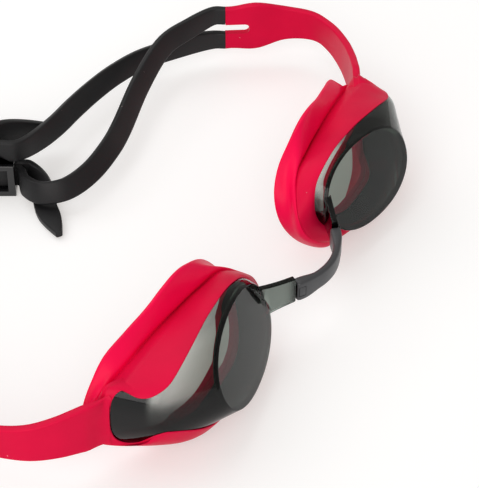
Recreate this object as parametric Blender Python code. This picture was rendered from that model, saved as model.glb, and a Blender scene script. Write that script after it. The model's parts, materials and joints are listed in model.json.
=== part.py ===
"""Swim goggles as a real pair comes apart: two lens cups, a clip-on nose bridge,
a forked strap on each side and a ladder buckle at the back.

Metres, +Z up. The lenses face -Y and the wearer's left is +X.
"""

import math

import bmesh
import bpy
from mathutils import Matrix, Vector

# Lens: a raked front plate with a wall behind it
LENS_SPACING = 0.070
LENS_CENTRE_HEIGHT = 0.0172
LENS_WIDTH = 0.0348
LENS_HEIGHT = 0.0222
LENS_WALL = 0.0016
LENS_TOE_IN = math.radians(10.3)
LENS_RAKE = math.radians(19.3)
OVAL_SQUARENESS = 2.15
TEMPLE_SQUARENESS = 2.8
RING_STEPS = 64

# Shoulder: where the lens wall turns back under the band
SHOULDER_TEMPLE = 0.0300
SHOULDER_NOSE = 0.0176
SHOULDER_UP = 0.0110
SHOULDER_DOWN = 0.0116
SHOULDER_DEPTH = 0.0070
SHOULDER_LEAN = 0.0012
SHOULDER_RAKE = 0.0055

# Rear edge of the lens wall, hidden in the band, and the bare wing at the temple
LENS_TUCK = 0.0038
LENS_DRAW_IN = 0.0020
WING_LENGTH = 0.0080
WING_FLARE = 0.0040
WING_UPPER_ANGLE = math.radians(48.0)
WING_LOWER_ANGLE = math.radians(80.0)
WING_FLAT_SHARE = 0.35
BARE_SHARE = 0.12
WING_BARE_SHARE = 0.72

# Crease: where the band meets the face seal
CREASE_TEMPLE = 0.0368
CREASE_NOSE = 0.0250
CREASE_UP = 0.0102
CREASE_DOWN = 0.0132
CREASE_DEPTH = 0.0140
CREASE_SLOPE = 0.18
CREASE_NOSE_DRAW = 0.0026
CREASE_RAKE = 0.0050
BAND_CREST = 0.0014
BAND_LIP = 0.0020

# Rim of the face seal
RIM_TEMPLE = 0.0350
RIM_NOSE = 0.0195
RIM_UP = 0.0181
RIM_DOWN = 0.0172
RIM_SKEW = 0.44
RIM_TEMPLE_SQUARENESS = 1.55
RIM_DEPTH = 0.0170
RIM_SWEEP = 0.0060
RIM_SWEEP_START = 0.0120
RIM_NOSE_DIP = 0.0090
RIM_NOSE_DIP_ANGLE = math.radians(240.0)
SEAL_LIP = 0.0013
SEAL_FLUTE = 0.0010
MITRE_LIMIT = 2.6

# Nose bridge, and the lens lugs that its sockets hold
PIN_HALF_SPACING = 0.0108
PIN_DEPTH = -0.0017
PIN_HEIGHT = 0.0163
BRIDGE_ARCH = 0.0038
BRIDGE_THICKNESS = 0.0022
BRIDGE_HEIGHT = 0.0050
SOCKET_LENGTH = 0.0062
SOCKET_MOUTH = 0.0025
SOCKET_HEIGHT = 0.0074
SOCKET_WALL = 0.0009
TONGUE_THICKNESS = 0.0012
TONGUE_HEIGHT = 0.0044
TONGUE_LENGTH = 0.0020
TONGUE_PLAY = 0.0007
LUG_THICKNESS = 0.0018
LUG_HEIGHT = 0.0068
LUG_GAP = 0.0007
LUG_ROOT = 0.0014
TAB_HEIGHT = 0.0034
TAB_LENGTH = 0.0030

# Side straps from the temple to the fork, as routes (outward, back) over the table
STRAP_THICKNESS = 0.0020
STRAP_EDGE = 0.0005
STRAP_ROOT_HEIGHT = 0.0124
STRAP_WAIST_HEIGHT = 0.0096
STRAP_FORK_HEIGHT = 0.0136
STRAP_ROOT_LEVEL = 0.0162
STRAP_FORK_LEVEL = 0.0130
FORK_LENGTH = 0.0070
FORK_SLIT = 0.0016
STRAP_STEPS = 30
LEFT_STRAP_ROUTE = (
    (0.0738, 0.0206),
    (0.0790, 0.0258),
    (0.0865, 0.0310),
    (0.0944, 0.0380),
    (0.0982, 0.0450),
    (0.0956, 0.0528),
    (0.0910, 0.0600),
    (0.0865, 0.0676),
)
RIGHT_STRAP_ROUTE = (
    (0.0728, 0.0202),
    (0.0778, 0.0246),
    (0.0816, 0.0294),
    (0.0845, 0.0351),
    (0.0862, 0.0430),
    (0.0872, 0.0515),
    (0.0874, 0.0600),
    (0.0868, 0.0676),
)

# Black strands: each route is (x, y, height, lean in degrees) from the fork to the buckle
LEFT_CROSSING_ROUTE = (
    (0.0775, 0.0745, 0.0160, 10.0),
    (0.0680, 0.0778, 0.0145, 22.0),
    (0.0527, 0.0768, 0.0115, 34.0),
    (0.0347, 0.0728, 0.0095, 40.0),
    (0.0248, 0.0712, 0.0090, 38.0),
    (0.0150, 0.0714, 0.0080, 32.0),
    (0.0071, 0.0740, 0.0072, 28.0),
    (0.0036, 0.0796, 0.0064, 20.0),
    (0.0050, 0.0852, 0.0057, 8.0),
)
LEFT_STRAIGHT_ROUTE = (
    (0.0780, 0.0765, 0.0091, 4.0),
    (0.0668, 0.0838, 0.0092, 10.0),
    (0.0563, 0.0868, 0.0096, 16.0),
    (0.0462, 0.0880, 0.0100, 20.0),
    (0.0356, 0.0882, 0.0106, 20.0),
    (0.0256, 0.0879, 0.0112, 16.0),
    (0.0163, 0.0882, 0.0122, 8.0),
)
RIGHT_UPPER_ROUTE = (
    (-0.0800, 0.0810, 0.0162, 0.0),
    (-0.0660, 0.1000, 0.0154, -4.0),
    (-0.0480, 0.1180, 0.0146, -6.0),
    (-0.0310, 0.1310, 0.0140, -4.0),
    (-0.0170, 0.1370, 0.0136, 0.0),
)
RIGHT_LOWER_ROUTE = (
    (-0.0800, 0.0800, 0.0086, 0.0),
    (-0.0655, 0.0980, 0.0078, 4.0),
    (-0.0475, 0.1155, 0.0068, 6.0),
    (-0.0305, 0.1295, 0.0058, 4.0),
    (-0.0170, 0.1365, 0.0052, 0.0),
)
RIGHT_UPPER_TAIL = (
    (0.0091, 0.0976, 0.0144, 0.0),
    (0.0120, 0.0951, 0.0153, 0.0),
    (0.0140, 0.0916, 0.0155, 0.0),
)
RIGHT_LOWER_TAIL = (
    (0.0122, 0.0886, 0.0043, -14.0),
    (0.0106, 0.0846, 0.0030, -50.0),
    (0.0072, 0.0814, 0.0020, -78.0),
    (0.0032, 0.0780, 0.0016, -86.0),
    (-0.0005, 0.0738, 0.0016, -86.0),
    (-0.0040, 0.0698, 0.0016, -86.0),
)

# Buckle at the back: two rows for the strands, set off from each other along its axis
BUCKLE_CENTRE = Vector((0.0027, 0.1044))
BUCKLE_TURN = math.radians(117.0)
BUCKLE_LENGTH = 0.0300
BUCKLE_ROW_LENGTH = 0.0200
BUCKLE_RAIL = 0.0016
BUCKLE_BAR = 0.0014
BUCKLE_BAR_WIDTH = 0.0020
BUCKLE_BAR_COUNT = 3
STRAND_PLAY = 0.0004
STRAND_LEAD = 0.0080
TAIL_LEAD = 0.0010
STRAND_STEPS = 66

# Clearance between pieces that touch
FIT = 0.0003

# Colour (red, green, blue), roughness and transmission of each finish
SMOKE = ((0.060, 0.066, 0.062), 0.06, 0.85)
BAND_RED = ((0.560, 0.006, 0.030), 0.48, 0.0)
SEAL_RED = ((0.800, 0.002, 0.018), 0.40, 0.0)
BLACK_SILICONE = ((0.010, 0.010, 0.011), 0.52, 0.0)
BLACK_PLASTIC = ((0.006, 0.006, 0.007), 0.22, 0.0)
GRAPHITE = ((0.030, 0.031, 0.034), 0.38, 0.0)

# Sizes that follow from the ones above
STRAND_HEIGHT = (STRAP_FORK_HEIGHT - FORK_SLIT) / 2
FORK_OFFSET = (STRAND_HEIGHT + FORK_SLIT) / 2
ROW_HEIGHT = STRAND_HEIGHT + 2 * STRAND_PLAY
LOWER_ROW = BUCKLE_RAIL + ROW_HEIGHT / 2
UPPER_ROW = LOWER_ROW + ROW_HEIGHT + BUCKLE_RAIL
LAYER_OFFSET = (STRAP_THICKNESS + STRAND_PLAY) / 2
SLOT_HALF_DEPTH = STRAP_THICKNESS + 1.5 * STRAND_PLAY
BUCKLE_AXIS = Vector((math.cos(BUCKLE_TURN), math.sin(BUCKLE_TURN)))
BUCKLE_FACE = Vector((BUCKLE_AXIS.y, -BUCKLE_AXIS.x))
SOCKET_THICKNESS = TONGUE_THICKNESS + 2 * (TONGUE_PLAY + SOCKET_WALL)
LUG_TURN = math.atan2(2 * BRIDGE_ARCH, PIN_HALF_SPACING)
BACK = Vector((0.0, 1.0, 0.0))


# Scene, materials and object helpers
def clear_scene():
    for obj in list(bpy.data.objects):
        bpy.data.objects.remove(obj, do_unlink=True)


def new_collection(name):
    collection = bpy.data.collections.new(name)
    bpy.context.scene.collection.children.link(collection)
    return collection


def finish_material(name, finish):
    colour, roughness, transmission = finish
    material = bpy.data.materials.new(name)
    material.use_nodes = True
    shader = material.node_tree.nodes["Principled BSDF"]
    shader.inputs["Base Color"].default_value = (*colour, 1.0)
    shader.inputs["Roughness"].default_value = roughness
    shader.inputs["Transmission Weight"].default_value = transmission
    return material


def place(obj, collection, parent, finish):
    collection.objects.link(obj)
    obj.parent = parent
    obj.data.materials.append(finish_material(obj.name, finish))
    return obj


def as_cutter(obj, cutters, parent):
    cutters.objects.link(obj)
    obj.parent = parent
    obj.hide_render = True
    obj.display_type = "WIRE"
    return obj


def combine(obj, other, operation):
    modifier = obj.modifiers.new(other.name, "BOOLEAN")
    modifier.operation = operation
    modifier.solver = "EXACT"
    modifier.object = other


def empty_at(name, collection, parent, location):
    empty = bpy.data.objects.new(name, None)
    empty.empty_display_size = 0.01
    empty.location = location
    empty.parent = parent
    collection.objects.link(empty)
    return empty


# Mesh helpers
def loft(name, loops, closed):
    """Bridge loops of points; a closed loft runs back to its first loop, an open one is capped.

    The triangles always run the same way, so that walls which follow the same loops stay parallel.
    """
    mesh = bmesh.new()
    rows = [[mesh.verts.new(point) for point in loop] for loop in loops]
    pairs = list(zip(rows, rows[1:]))
    if closed:
        pairs.append((rows[-1], rows[0]))
    for first, second in pairs:
        for i in range(len(first)):
            j = (i + 1) % len(first)
            mesh.faces.new((first[i], first[j], second[j]))
            mesh.faces.new((first[i], second[j], second[i]))
    if not closed:
        mesh.faces.new(rows[0])
        mesh.faces.new(rows[-1])
    bmesh.ops.recalc_face_normals(mesh, faces=mesh.faces)
    data = bpy.data.meshes.new(name)
    mesh.to_mesh(data)
    mesh.free()
    data.shade_smooth()
    data.set_sharp_from_angle(angle=math.radians(40))
    return bpy.data.objects.new(name, data)


def block(name, size, centre, turn):
    """A box of the given size, turned about Z, with its place in its mesh."""
    mesh = bmesh.new()
    bmesh.ops.create_cube(mesh, size=1.0)
    bmesh.ops.scale(mesh, vec=size, verts=mesh.verts)
    bmesh.ops.rotate(mesh, matrix=Matrix.Rotation(turn, 3, "Z"), verts=mesh.verts)
    bmesh.ops.translate(mesh, vec=centre, verts=mesh.verts)
    data = bpy.data.meshes.new(name)
    mesh.to_mesh(data)
    mesh.free()
    return bpy.data.objects.new(name, data)


def smooth_route(points, steps):
    """Points along a Catmull-Rom curve through the given points, ends included."""
    knots = [Vector(point) for point in points]
    knots.insert(0, 2 * knots[0] - knots[1])
    knots.append(2 * knots[-1] - knots[-2])
    spans = len(knots) - 3
    route = []
    for i in range(steps + 1):
        place_on_curve = spans * i / steps
        span = min(int(place_on_curve), spans - 1)
        t = place_on_curve - span
        a, b, c, d = knots[span:span + 4]
        curve = 2 * b + (c - a) * t + (2 * a - 5 * b + 4 * c - d) * t ** 2
        route.append((curve + (3 * b - a - 3 * c + d) * t ** 3) / 2)
    return route


def rounded_section(height, thickness, edge):
    """Outline (across, up) of a flat strap with its corners cut off."""
    across = thickness / 2
    up = height / 2
    corner = [(across, up - edge), (across - edge, up)]
    outline = corner + [(-a, u) for a, u in reversed(corner)]
    return outline + [(-a, -u) for a, u in outline]


def upright_loops(route, heights, thickness, edge):
    """Sections of an upright strap: one loop of points at each point of the route."""
    loops = []
    for i, point in enumerate(route):
        ahead = route[min(i + 1, len(route) - 1)] - route[max(i - 1, 0)]
        across = Vector((ahead.y, -ahead.x, 0.0)).normalized()
        outline = rounded_section(heights[i], thickness, edge)
        loops.append([point + across * a + Vector((0.0, 0.0, u)) for a, u in outline])
    return loops


# Sections of a left cup, around its front plate: x out to the temple, y back, z up
def ring_angles():
    return [2 * math.pi * (i + 0.5) / RING_STEPS for i in range(RING_STEPS)]


def oval(angle, temple, nose, up, down, temple_squareness=OVAL_SQUARENESS):
    """Point (x, z) of a squarish oval; angle 0 is the temple and a quarter turn the top."""
    c = math.cos(angle)
    s = math.sin(angle)
    power = 2 / (temple_squareness if c > 0 else OVAL_SQUARENESS)
    x = math.copysign(abs(c) ** power, c) * (temple if c > 0 else nose)
    z = math.copysign(abs(s) ** power, s) * (up if s > 0 else down)
    return x, z


def wing_share(angle):
    """1 in the middle of the temple, falling to 0 at the edges of the wing."""
    if angle < math.pi:
        across = angle / WING_UPPER_ANGLE
    else:
        across = (2 * math.pi - angle) / WING_LOWER_ANGLE
    fall = (across - WING_FLAT_SHARE) / (1 - WING_FLAT_SHARE)
    return (1 + math.cos(math.pi * min(max(fall, 0.0), 1.0))) / 2


def below(z, down):
    """0 from the middle up, growing to 1 at the bottom."""
    return max(-z / down, 0.0) ** 2


def plate_point(angle, inset, depth):
    half_width = LENS_WIDTH / 2 - inset
    half_height = LENS_HEIGHT / 2 - inset
    x, z = oval(angle, half_width, half_width, half_height, half_height)
    rake = Matrix.Rotation(-LENS_RAKE, 3, "X")
    toe_in = Matrix.Rotation(-LENS_TOE_IN, 3, "Z")
    return toe_in @ rake @ Vector((x, depth, z))


def shoulder_point(angle, grow):
    temple = SHOULDER_TEMPLE + grow
    x, z = oval(angle, temple, SHOULDER_NOSE + grow, SHOULDER_UP + grow, SHOULDER_DOWN + grow,
                TEMPLE_SQUARENESS)
    rake = SHOULDER_LEAN * x / temple + SHOULDER_RAKE * below(z, SHOULDER_DOWN + grow)
    return Vector((x, SHOULDER_DEPTH - rake, z))


def rear_point(angle, grow):
    wing = wing_share(angle)
    grow = grow + WING_FLARE * wing - LENS_DRAW_IN * (1 - wing)
    x, z = oval(angle, SHOULDER_TEMPLE + grow, SHOULDER_NOSE + grow, SHOULDER_UP + grow,
                SHOULDER_DOWN + grow, TEMPLE_SQUARENESS)
    depth = shoulder_point(angle, 0.0).y + LENS_TUCK + WING_LENGTH * wing
    return Vector((x, depth, z))


def crease_point(angle):
    x, z = oval(angle, CREASE_TEMPLE, CREASE_NOSE, CREASE_UP, CREASE_DOWN, TEMPLE_SQUARENESS)
    draw = CREASE_NOSE_DRAW * max(-x / CREASE_NOSE, 0.0) ** 3 + CREASE_RAKE * below(z, CREASE_DOWN)
    return Vector((x, CREASE_DEPTH + CREASE_SLOPE * x - draw, z))


def rim_point(angle):
    x, z = oval(angle, RIM_TEMPLE, RIM_NOSE, RIM_UP, RIM_DOWN, RIM_TEMPLE_SQUARENESS)
    skew = RIM_SKEW if z > 0 else RIM_SKEW * (1 - math.cos(angle)) / 2
    x = x + skew * z
    sweep = max(x - RIM_SWEEP_START, 0.0) / (RIM_TEMPLE - RIM_SWEEP_START)
    dip = max(math.cos(angle - RIM_NOSE_DIP_ANGLE), 0.0) ** 5
    return Vector((x, RIM_DEPTH + RIM_SWEEP * sweep ** 2 - RIM_NOSE_DIP * dip, z))


def outward(angle):
    across = SHOULDER_TEMPLE if math.cos(angle) > 0 else SHOULDER_NOSE
    return Vector((math.cos(angle) / across, 0.0, math.sin(angle) / SHOULDER_UP)).normalized()


def front_normal(angle, start, end):
    """Square to the line from start to end, on the side that faces out and forward."""
    out = outward(angle)
    run = end - start
    return (out * run.y - BACK * run.dot(out)).normalized()


def mitre_back(angle, before, point, after, thickness):
    """Where the inner face turns, for a wall of this thickness behind before-point-after."""
    first = front_normal(angle, before, point)
    second = front_normal(angle, point, after)
    middle = (first + second).normalized()
    stretch = min(1 / max(middle.dot(first), 1 / MITRE_LIMIT), MITRE_LIMIT)
    return point - middle * thickness * stretch


def band_start(angle, grow):
    """Where the band's front edge runs on the lens wall."""
    bare = BARE_SHARE + WING_BARE_SHARE * wing_share(angle)
    return shoulder_point(angle, grow).lerp(rear_point(angle, grow), bare)


def band_section(angle):
    start = band_start(angle, FIT)
    crease = crease_point(angle)
    normal = front_normal(angle, start, crease)
    crest = BAND_CREST * (1 - WING_BARE_SHARE * wing_share(angle))
    inner = rear_point(angle, -LENS_WALL)
    return [
        start,
        rear_point(angle, FIT) + BACK * FIT,
        inner + BACK * FIT,
        inner + BACK * (FIT + BAND_LIP),
        crease,
        start.lerp(crease, 0.65) + normal * crest,
        start.lerp(crease, 0.25) + normal * crest,
    ]


def seal_section(angle):
    inner = rear_point(angle, -LENS_WALL) + BACK * (2 * FIT + BAND_LIP)
    crease = crease_point(angle) + BACK * FIT
    rim = rim_point(angle)
    normal = front_normal(angle, crease, rim)
    flute = crease.lerp(rim, 0.45) - normal * SEAL_FLUTE
    root_normal = front_normal(angle, inner, crease)
    return [
        inner,
        crease,
        flute,
        rim,
        rim - normal * SEAL_LIP,
        flute - normal * SEAL_LIP,
        mitre_back(angle, inner, crease, flute, SEAL_LIP),
        inner - root_normal * SEAL_LIP,
    ]


def ring_loops(section):
    """Turn a section function of the angle into loops that run round the cup."""
    sections = [section(angle) for angle in ring_angles()]
    return [list(loop) for loop in zip(*sections)]


def mirrored(loops, side):
    return [[Vector((side * p.x, p.y, p.z)) for p in loop] for loop in loops]


# Cup pieces
def make_lens(side_name, side, collection, cutters, cup):
    angles = ring_angles()
    loops = [
        [plate_point(a, 0.0, 0.0) for a in angles],
        [shoulder_point(a, 0.0) for a in angles],
        [band_start(a, 0.0) for a in angles],
        [rear_point(a, 0.0) for a in angles],
        [rear_point(a, -LENS_WALL) for a in angles],
        [shoulder_point(a, -LENS_WALL) for a in angles],
        [plate_point(a, LENS_WALL, LENS_WALL) for a in angles],
    ]
    lens = loft("lens_" + side_name, mirrored(loops, side), closed=False)
    lens.location = cup_offset(side)
    place(lens, collection, cup, SMOKE)

    along = Vector((side * math.cos(LUG_TURN), math.sin(LUG_TURN), 0.0))
    turn = side * LUG_TURN
    lug_start = SOCKET_MOUTH + LUG_GAP
    wall_at_nose = (plate_point(math.pi, 0.0, 0.0) + shoulder_point(math.pi, 0.0)) / 2
    lug_end = (wall_at_nose + cup_offset(1)).length + LUG_ROOT
    lug_size = (lug_end - lug_start, LUG_THICKNESS, LUG_HEIGHT)
    lug = block("lug_" + side_name, lug_size, along * (lug_start + lug_end) / 2, turn)
    tongue_size = (lug_start + 2 * LUG_GAP + TONGUE_LENGTH, TONGUE_THICKNESS, TONGUE_HEIGHT)
    tongue_middle = (lug_start + 2 * LUG_GAP - TONGUE_LENGTH) / 2
    tongue = block("tongue_" + side_name, tongue_size, along * tongue_middle, turn)
    for piece in (lug, tongue):
        as_cutter(piece, cutters, cup)
        combine(lens, piece, "UNION")


def make_ring(name, section, side, collection, cup, finish):
    ring = loft(name, mirrored(ring_loops(section), side), closed=True)
    ring.location = cup_offset(side)
    place(ring, collection, cup, finish)


def cup_offset(side):
    """Middle of the front plate, seen from the cup's pin."""
    x = side * (LENS_SPACING / 2 - PIN_HALF_SPACING)
    return Vector((x, -PIN_DEPTH, LENS_CENTRE_HEIGHT - PIN_HEIGHT))


# Nose bridge
def bridge_depth(x):
    return PIN_DEPTH - BRIDGE_ARCH * (1 - (x / PIN_HALF_SPACING) ** 2)


def make_bridge(collection, cutters, frame):
    steps = 16
    reach = PIN_HALF_SPACING + (SOCKET_MOUTH - SOCKET_LENGTH) * math.cos(LUG_TURN) / 2
    xs = [reach * (2 * i / steps - 1) for i in range(steps + 1)]
    route = [Vector((x, bridge_depth(x), PIN_HEIGHT)) for x in xs]
    growth = (SOCKET_HEIGHT - BRIDGE_HEIGHT) / reach ** 2
    heights = [BRIDGE_HEIGHT + growth * x ** 2 for x in xs]
    loops = upright_loops(route, heights, BRIDGE_THICKNESS, STRAP_EDGE)
    bridge = place(loft("nose_bridge", loops, closed=False), collection, frame, GRAPHITE)
    for side_name, side in (("right", -1), ("left", 1)):
        add_socket(bridge, side_name, side, collection, cutters, frame)


def add_socket(bridge, side_name, side, collection, cutters, frame):
    pin = Vector((side * PIN_HALF_SPACING, PIN_DEPTH, PIN_HEIGHT))
    along = Vector((side * math.cos(LUG_TURN), math.sin(LUG_TURN), 0.0))
    front = Vector((side * math.sin(LUG_TURN), -math.cos(LUG_TURN), 0.0))
    turn = side * LUG_TURN

    body_middle = pin + along * (SOCKET_MOUTH - SOCKET_LENGTH / 2)
    body = block("socket_" + side_name, (SOCKET_LENGTH, SOCKET_THICKNESS, SOCKET_HEIGHT), body_middle, turn)
    combine(bridge, as_cutter(body, cutters, frame), "UNION")

    slot_start = -TONGUE_LENGTH - TONGUE_PLAY
    slot_end = 2 * SOCKET_MOUTH
    slot_size = (slot_end - slot_start, TONGUE_THICKNESS + 2 * TONGUE_PLAY, TONGUE_HEIGHT + 2 * TONGUE_PLAY)
    slot = block("slot_" + side_name, slot_size, pin + along * (slot_start + slot_end) / 2, turn)
    combine(bridge, as_cutter(slot, cutters, frame), "DIFFERENCE")

    tab_middle = pin + front * (SOCKET_THICKNESS - SOCKET_WALL) / 2
    window_size = (TAB_LENGTH + 2 * FIT, 2 * SOCKET_WALL, TAB_HEIGHT + 2 * FIT)
    window = block("window_" + side_name, window_size, tab_middle, turn)
    combine(bridge, as_cutter(window, cutters, frame), "DIFFERENCE")

    hinge = tab_middle - along * TAB_LENGTH / 2
    axis = empty_at("tab_hinge_" + side_name, cutters, frame, hinge)
    tab_size = (TAB_LENGTH, SOCKET_WALL, TAB_HEIGHT)
    tab = block("release_tab_" + side_name, tab_size, along * TAB_LENGTH / 2, turn)
    place(tab, collection, axis, GRAPHITE)


# Straps
def side_strap_route(side):
    flat_route = LEFT_STRAP_ROUTE if side > 0 else RIGHT_STRAP_ROUTE
    route = smooth_route([(side * x, y, 0.0) for x, y in flat_route], STRAP_STEPS)
    for i, point in enumerate(route):
        share = i / STRAP_STEPS
        point.z = STRAP_ROOT_LEVEL + (STRAP_FORK_LEVEL - STRAP_ROOT_LEVEL) * share
    return route


def fork_heading(route):
    """Level direction in which a side strap ends."""
    heading = route[-1] - route[-2]
    heading.z = 0.0
    return heading.normalized()


def make_side_strap(side_name, side, collection, cutters, frame):
    route = side_strap_route(side)
    heights = []
    for i in range(len(route)):
        from_waist = 2 * i / STRAP_STEPS - 1
        end_height = STRAP_ROOT_HEIGHT if from_waist < 0 else STRAP_FORK_HEIGHT
        heights.append(STRAP_WAIST_HEIGHT + (end_height - STRAP_WAIST_HEIGHT) * from_waist ** 2)
    loops = upright_loops(route, heights, STRAP_THICKNESS, STRAP_EDGE)
    strap = place(loft("side_strap_" + side_name, loops, closed=False), collection, frame, BAND_RED)

    ahead = fork_heading(route)
    slit_size = (2 * FORK_LENGTH, 4 * STRAP_THICKNESS, FORK_SLIT)
    slit = block("slit_" + side_name, slit_size, route[-1], math.atan2(ahead.y, ahead.x))
    combine(strap, as_cutter(slit, cutters, frame), "DIFFERENCE")


def buckle_point(along, layer, row):
    """A point in the buckle: along its axis, towards one face, at a row's height."""
    flat = BUCKLE_CENTRE + BUCKLE_AXIS * along + BUCKLE_FACE * layer
    return (flat.x, flat.y, row, 0.0)


def buckle_run(start, end, layer, row):
    """Knots that carry a strand straight through a row of the buckle."""
    steps = 8
    return [buckle_point(start + (end - start) * i / steps, layer, row) for i in range(steps + 1)]


def fork_points(side, offset):
    """Two points that carry a strand straight on from its prong of the fork."""
    route = side_strap_route(side)
    ahead = fork_heading(route)
    start = route[-1] + Vector((0.0, 0.0, offset)) + ahead * FIT
    further = start + ahead * 2 * STRAP_THICKNESS
    return [(*start, 0.0), (*further, 0.0)]


def make_strand(name, knots, collection, outline, frame):
    route = smooth_route([Vector(knot) for knot in knots], STRAND_STEPS)
    curve = bpy.data.curves.new(name, "CURVE")
    curve.dimensions = "3D"
    curve.twist_mode = "Z_UP"
    curve.bevel_mode = "OBJECT"
    curve.bevel_object = outline
    curve.use_fill_caps = True
    spline = curve.splines.new("POLY")
    spline.points.add(len(route) - 1)
    for point, knot in zip(spline.points, route):
        point.co = (knot[0], knot[1], knot[2], 1.0)
        point.tilt = math.radians(knot[3])
    strand = bpy.data.objects.new(name, curve)
    place(strand, collection, frame, BLACK_SILICONE)


def make_strand_outline(cutters, frame):
    curve = bpy.data.curves.new("strand_outline", "CURVE")
    curve.dimensions = "2D"
    outline = rounded_section(STRAND_HEIGHT, STRAP_THICKNESS, STRAP_EDGE)
    spline = curve.splines.new("POLY")
    spline.points.add(len(outline) - 1)
    for point, (across, up) in zip(spline.points, reversed(outline)):
        point.co = (across, up, 0.0, 1.0)
    spline.use_cyclic_u = True
    return as_cutter(bpy.data.objects.new("strand_outline", curve), cutters, frame)


def make_strands(collection, cutters, frame):
    outline = make_strand_outline(cutters, frame)
    far_end = BUCKLE_LENGTH / 2 + STRAND_LEAD
    near_end = -BUCKLE_LENGTH / 2 - TAIL_LEAD
    upper_row_end = BUCKLE_LENGTH / 2 - BUCKLE_ROW_LENGTH - TAIL_LEAD
    left_strands = (
        ("strand_left_upper", FORK_OFFSET, LEFT_CROSSING_ROUTE, LOWER_ROW),
        ("strand_left_lower", -FORK_OFFSET, LEFT_STRAIGHT_ROUTE, UPPER_ROW),
    )
    for name, offset, route, row in left_strands:
        through = buckle_run(near_end, far_end, -LAYER_OFFSET, row)
        make_strand(name, [*fork_points(1, offset), *route, *through], collection, outline, frame)
    right_strands = (
        ("strand_right_upper", FORK_OFFSET, RIGHT_UPPER_ROUTE, UPPER_ROW, upper_row_end, RIGHT_UPPER_TAIL),
        ("strand_right_lower", -FORK_OFFSET, RIGHT_LOWER_ROUTE, LOWER_ROW, near_end, RIGHT_LOWER_TAIL),
    )
    for name, offset, route, row, exit_end, tail in right_strands:
        through = buckle_run(far_end, exit_end, LAYER_OFFSET, row)
        make_strand(name, [*fork_points(-1, offset), *route, *through, *tail], collection, outline, frame)


# Buckle
def make_buckle(collection, cutters, frame):
    depth = 2 * (SLOT_HALF_DEPTH + BUCKLE_BAR)
    height = 2 * ROW_HEIGHT + 3 * BUCKLE_RAIL
    centre = Vector((*BUCKLE_CENTRE, height / 2))
    axis = empty_at("buckle_slide", cutters, frame, centre)
    buckle = block("buckle_frame", (BUCKLE_LENGTH, depth, height), Vector(), BUCKLE_TURN)
    place(buckle, collection, axis, BLACK_PLASTIC)

    slot_size = (2 * BUCKLE_LENGTH, 2 * SLOT_HALF_DEPTH, ROW_HEIGHT)
    gap = (BUCKLE_ROW_LENGTH - BUCKLE_BAR_COUNT * BUCKLE_BAR_WIDTH) / (BUCKLE_BAR_COUNT - 1)
    window_size = (gap, 2 * depth, ROW_HEIGHT)
    step_size = (2 * (BUCKLE_LENGTH - BUCKLE_ROW_LENGTH), 2 * depth, 2 * (ROW_HEIGHT + BUCKLE_RAIL))
    for row_name, row, end in (("lower", LOWER_ROW, -1), ("upper", UPPER_ROW, 1)):
        def spot(along, level):
            return Vector((*(BUCKLE_AXIS * along * end), level))

        level = row - height / 2
        slot = block("row_" + row_name, slot_size, spot(0.0, level), BUCKLE_TURN)
        combine(buckle, as_cutter(slot, cutters, axis), "DIFFERENCE")
        step = block("step_" + row_name, step_size, spot(-BUCKLE_LENGTH / 2, end * height / 2), BUCKLE_TURN)
        combine(buckle, as_cutter(step, cutters, axis), "DIFFERENCE")
        for i in range(BUCKLE_BAR_COUNT - 1):
            along = BUCKLE_LENGTH / 2 - BUCKLE_BAR_WIDTH - gap / 2 - i * (gap + BUCKLE_BAR_WIDTH)
            name = "rung_gap_%s_%d" % (row_name, i + 1)
            window = block(name, window_size, spot(along, level), BUCKLE_TURN)
            combine(buckle, as_cutter(window, cutters, axis), "DIFFERENCE")


# Stand the pair on the table, with its box centred on the origin
def centre_on_origin(collection, frame):
    bpy.context.view_layer.update()
    depsgraph = bpy.context.evaluated_depsgraph_get()
    low = Vector((math.inf,) * 3)
    high = Vector((-math.inf,) * 3)
    for obj in collection.objects:
        evaluated = obj.evaluated_get(depsgraph)
        mesh = evaluated.to_mesh()
        for vertex in mesh.vertices:
            point = evaluated.matrix_world @ vertex.co
            low = Vector(map(min, low, point))
            high = Vector(map(max, high, point))
        evaluated.to_mesh_clear()
    frame.location = (-(low.x + high.x) / 2, -(low.y + high.y) / 2, -low.z)
    bpy.context.view_layer.update()


def main():
    clear_scene()
    parts = new_collection("swim_goggles")
    cutters = new_collection("goggles_cutters")
    frame = empty_at("goggles_frame", cutters, None, (0.0, 0.0, 0.0))
    for side_name, side in (("right", -1), ("left", 1)):
        pin = (side * PIN_HALF_SPACING, PIN_DEPTH, PIN_HEIGHT)
        cup = empty_at("cup_pin_" + side_name, cutters, frame, pin)
        make_lens(side_name, side, parts, cutters, cup)
        make_ring("band_" + side_name, band_section, side, parts, cup, BAND_RED)
        make_ring("seal_" + side_name, seal_section, side, parts, cup, SEAL_RED)
        make_side_strap(side_name, side, parts, cutters, frame)
    make_bridge(parts, cutters, frame)
    make_strands(parts, cutters, frame)
    make_buckle(parts, cutters, frame)
    centre_on_origin(parts, frame)


main()
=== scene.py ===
"""Looks of the swim goggles: each piece modelled round its CAD solid, with its finish.

Metres, +Z up. The lenses face -Y and the wearer's left is +X.
"""

import json
import math

import bmesh
import bpy
from mathutils import Matrix, Vector
from mathutils.kdtree import KDTree


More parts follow.
